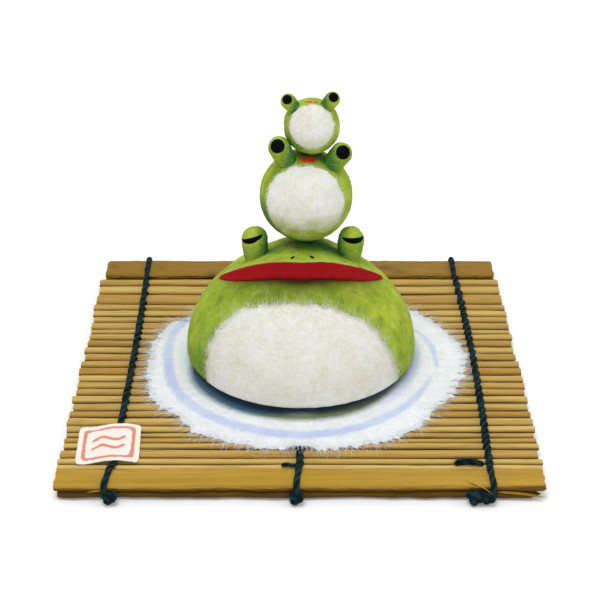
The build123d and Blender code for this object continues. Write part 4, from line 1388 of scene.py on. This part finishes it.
def matte_paint(name, light, dark):
    """Thick poster paint brushed on paper, dull, its tone uneven with the brush."""
    material, tree = new_material(name)
    place = add(tree, "ShaderNodeTexCoord", out=3)
    brushed = add(tree, "ShaderNodeTexNoise", {"Vector": place, "Scale": paint_brush, "Detail": 4.0})
    patchy = add(tree, "ShaderNodeMapRange", {"Value": brushed, "From Min": 0.4, "From Max": 0.65})
    colour = add(tree, "ShaderNodeMix", {0: patchy, 6: linear(light), 7: linear(dark)}, out=2,
                 data_type="RGBA")
    return finished(material, colour, 0.6, 0.06, brushed, 0.5, 0.1)


for frog, *shape, paint, light, dark in smiles:
    smile = piece(frog + "_frog_red_mouth", half_moon(*shape), matte_paint(paint, light, dark))
    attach(smile, "root")
    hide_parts(frog + "_frog_mouth")

# Eyes. Stubs of paper clay with round ends, set on each head and papered over. Pupils in
# black poster paint are brushed on, crescents on the large frog's half-shut eyes and
# rounds on the others, and so are the large frog's two nostrils.
eye_columns = 72
eye_stations = 40
pupil_turns = (-12.0, 12.0)
crescent_rolls = (20.0, -3.0)
crescent_turn = 1.3
pupil_black = "#010203"
pupil_grey = "#06080A"
# Nostrils: each stroke's two ends, by x and the level of the head ring
nostril_strokes = (((-3.7, 0.14), (-2.3, 0.25)), ((3.0, 0.26), (4.5, 0.18)))
# Eyes: frog, radius of the end, rise of the pupils, swelling of the paper, the shade's
# place between root and tip, and the root and tip of the left and the right stub
eye_sets = (
    ("large", 4.6, 22.0, 0.12, 0.62,
     (((-14.8, 3.0, 40.7), (-16.0, 3.0, 54.1)), ((16.8, 3.0, 40.7), (18.0, 3.0, 54.1)))),
    ("middle", 3.8, 31.0, 0.07, 0.45,
     (((-2.4, 6.7, 78.6), (-7.1, 4.48, 88.7)), ((8.6, 6.9, 77.5), (14.1, 4.94, 86.2)))),
    ("small", 2.6, 38.0, 0.05, 0.45,
     (((-0.3, 9.0, 99.3), (-4.0, 7.97, 104.1)), ((7.7, 9.1, 99.7), (10.95, 8.0, 104.9)))),
)


def eye_stub(root, tip, end_radius, seed, relief):
    """A stub with a round end: its radius runs from root to tip, then follows a quarter circle."""
    axis = tip - root
    length = np.linalg.norm(axis)
    axis /= length
    side = unit(np.cross(axis, (0, 1.0, 0)))
    ahead = np.cross(side, axis)
    root_radius = 0.8 * end_radius
    share = np.linspace(0, 1, eye_stations)
    neck = root_radius + (end_radius - root_radius) * (0.5 - 0.5 * np.cos(pi * share)) ** 0.8
    over = np.linspace(0, pi / 2 * 0.98, eye_stations)[1:]
    along = np.concatenate([share * length, length + end_radius * np.sin(over)])
    radius = np.concatenate([neck, end_radius * np.cos(over)])
    turn = round_turns(eye_columns)
    rings = (root + axis * along[:, None, None] + radius[:, None, None]
             * (np.cos(turn)[:, None] * side + np.sin(turn)[:, None] * ahead))
    points, faces = closed_skin(rings)
    return papered(points, faces, relief, seed, 2.2), faces


def painted_patch(tip, radius, outline, side, rise, lift):
    """A patch of thick paint on an eye's round end, inside an outline seen along the aim."""
    right, up, out = aim(side, rise)
    share = np.linspace(0.03, 1, 9)[:, None]
    x, y = (line.mean() + (line - line.mean()) * share for line in outline)
    z = np.sqrt(np.clip(radius**2 - x**2 - y**2, 0.01, None))
    ways = (x[..., None] * right + y[..., None] * up + z[..., None] * out) / radius
    thick = 0.08 + lift * np.sqrt(np.clip(1 - share**3, 0, 1)) + 0.03
    return *patch_on(tip, ways, radius, thick, 0.35), {}


def crescent_outline(size, thickness, roll):
    """A sleepy eye's bow, concave above: a half arc with a shallower arc inside it."""
    swing = pi * np.linspace(0, 1, 40)
    low = np.stack([-size * np.cos(swing), -0.62 * size * np.sin(swing)], axis=-1)
    high = np.stack([size * np.cos(swing), -(0.62 * size - thickness) * np.sin(swing)], axis=-1)
    bow = np.concatenate([low[1:-1], high[1:-1]])
    bow[:, 1] += 0.3 * size
    roll = radians(roll)
    return bow[:, 0] * cos(roll) - bow[:, 1] * sin(roll), bow[:, 0] * sin(roll) + bow[:, 1] * cos(roll)


def round_outline(size):
    """A circle's outline."""
    turn = round_turns(60)
    return size * np.cos(turn), size * np.sin(turn)


def nostril(start, end):
    """A brush stroke on the head, between two places given by x and the level of the head ring."""
    share = np.linspace(0, 1, 14)[:, None]
    across = np.linspace(-1, 1, 7)[None]
    x = start[0] + (end[0] - start[0]) * share + 0 * across
    bowed = 0.04 * across * np.sqrt(np.sin(pi * (0.08 + 0.84 * share)))
    level = start[1] + (end[1] - start[1]) * share + bowed
    turn = np.arcsin(np.clip(x / 12, -1, 1))
    radius = head_ring(level, np.abs(turn))[0]
    turn = np.arcsin(np.clip((x - seat_x * level**2) / radius, -0.9, 0.9))
    radius, height = head_ring(level, np.abs(turn))
    over = round_dome(radius, height, turn, level) + (0, -0.02, 0.16)
    under = over[:, ::-1] - (0, 0, 0.6)
    return *closed_skin(np.concatenate([over, under], axis=1)), {}


pupil_paint = matte_paint("black_poster_paint", pupil_black, pupil_grey)
for frog, end_radius, rise, relief, shade_place, stubs in eye_sets:
    patches = []
    for k, side in enumerate(("left", "right")):
        root, tip = np.array(stubs[k])
        eye_points, eye_faces = eye_stub(root, tip, end_radius, 100 + k, relief)
        # Painted shade near each stub's root and down its inner side
        inner = np.clip((eye_points[:, 0] - tip[0]) / end_radius * (1 - 2 * k), 0, 1)
        shaded = near(eye_points, root + (tip - root) * shade_place, 1.15 * end_radius)
        marks = {"shade": 0.75 * shaded + 0.7 * inner, "lip": 0.0}
        eye = piece(frog + "_frog_papered_eye_" + side, (eye_points, eye_faces, marks), frog_green)
        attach(eye, "root")
        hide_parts(frog + "_frog_eye_" + side)
        if frog == "large":
            outline = crescent_outline(0.84 * end_radius, 0.43 * end_radius, crescent_rolls[k])
            aside, lift = crescent_turn * pupil_turns[k], 0.15
        else:
            outline = round_outline(0.63 * end_radius)
            aside, lift = pupil_turns[k], 0.25
        patches.append(painted_patch(tip, end_radius, outline, aside, rise, lift))
    if frog == "large":
        patches += [nostril(start, end) for start, end in nostril_strokes]
    pupils = piece(frog + "_frog_black_pupils", joined(patches), pupil_paint)
    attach(pupils, "root")
    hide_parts(frog + "_frog_pupils")

# Floor and light. A plain pale table, a large soft lamp above the front, weaker ones at
# the right and behind, and an even pale sky.
floor_size = 12.0
floor_white = "#FFFFFF"
floor_glow = 0.12
plain_white = (1.0, 1.0, 1.0, 1.0)
lamp_target = (0, 0, 0.03)
sky_strength = 0.60
lamps = (
    ("key", (-0.14, -0.30, 1.05), 0.6, 4.5),
    ("side", (0.85, -0.25, 0.55), 0.6, 0.9),
    ("back", (0.1, 0.8, 0.7), 0.6, 0.9),
)

floor_mesh = bpy.data.meshes.new("floor")
half = floor_size / 2
floor_corners = [(-half, -half, 0), (half, -half, 0), (half, half, 0), (-half, half, 0)]
floor_mesh.from_pydata(floor_corners, [], [(0, 1, 2, 3)])
floor = bpy.data.objects.new("floor", floor_mesh)
bpy.context.scene.collection.objects.link(floor)
floor_material, floor_tree = new_material("pale_table")
floor_shader = add(floor_tree, "ShaderNodeBsdfDiffuse", {"Color": linear(floor_white)})
floor_seen = add(floor_tree, "ShaderNodeLightPath")
floor_seen = add(floor_tree, "ShaderNodeMath", {0: floor_seen, 1: floor_glow}, operation="MULTIPLY")
floor_light = add(floor_tree, "ShaderNodeEmission", {"Color": plain_white, "Strength": floor_seen})
floor_shader = add(floor_tree, "ShaderNodeAddShader", {0: floor_shader, 1: floor_light})
add(floor_tree, "ShaderNodeOutputMaterial", {"Surface": floor_shader})
floor_mesh.materials.append(floor_material)

for name, place, size, power in lamps:
    lamp_data = bpy.data.lights.new(name, "AREA")
    lamp_data.shape = "DISK"
    lamp_data.size = size
    lamp_data.energy = power
    lamp = bpy.data.objects.new(name, lamp_data)
    lamp.location = place
    towards = np.array(lamp_target) - np.array(place)
    lamp.rotation_euler = (np.arctan2(np.hypot(towards[0], towards[1]), -towards[2]), 0,
                           np.arctan2(towards[1], towards[0]) - pi / 2)
    bpy.context.scene.collection.objects.link(lamp)

world = bpy.data.worlds.new("sky")
world.use_nodes = True
world.node_tree.nodes.clear()
light_path = add(world.node_tree, "ShaderNodeLightPath")
sky = add(world.node_tree, "ShaderNodeBackground", {"Color": plain_white, "Strength": sky_strength})
seen = add(world.node_tree, "ShaderNodeBackground", {"Color": plain_white, "Strength": 1.0})
mixed = add(world.node_tree, "ShaderNodeMixShader", {0: light_path, 1: sky, 2: seen})
add(world.node_tree, "ShaderNodeOutputWorld", {"Surface": mixed})
bpy.context.scene.world = world
bpy.context.scene.view_settings.view_transform = "Standard"
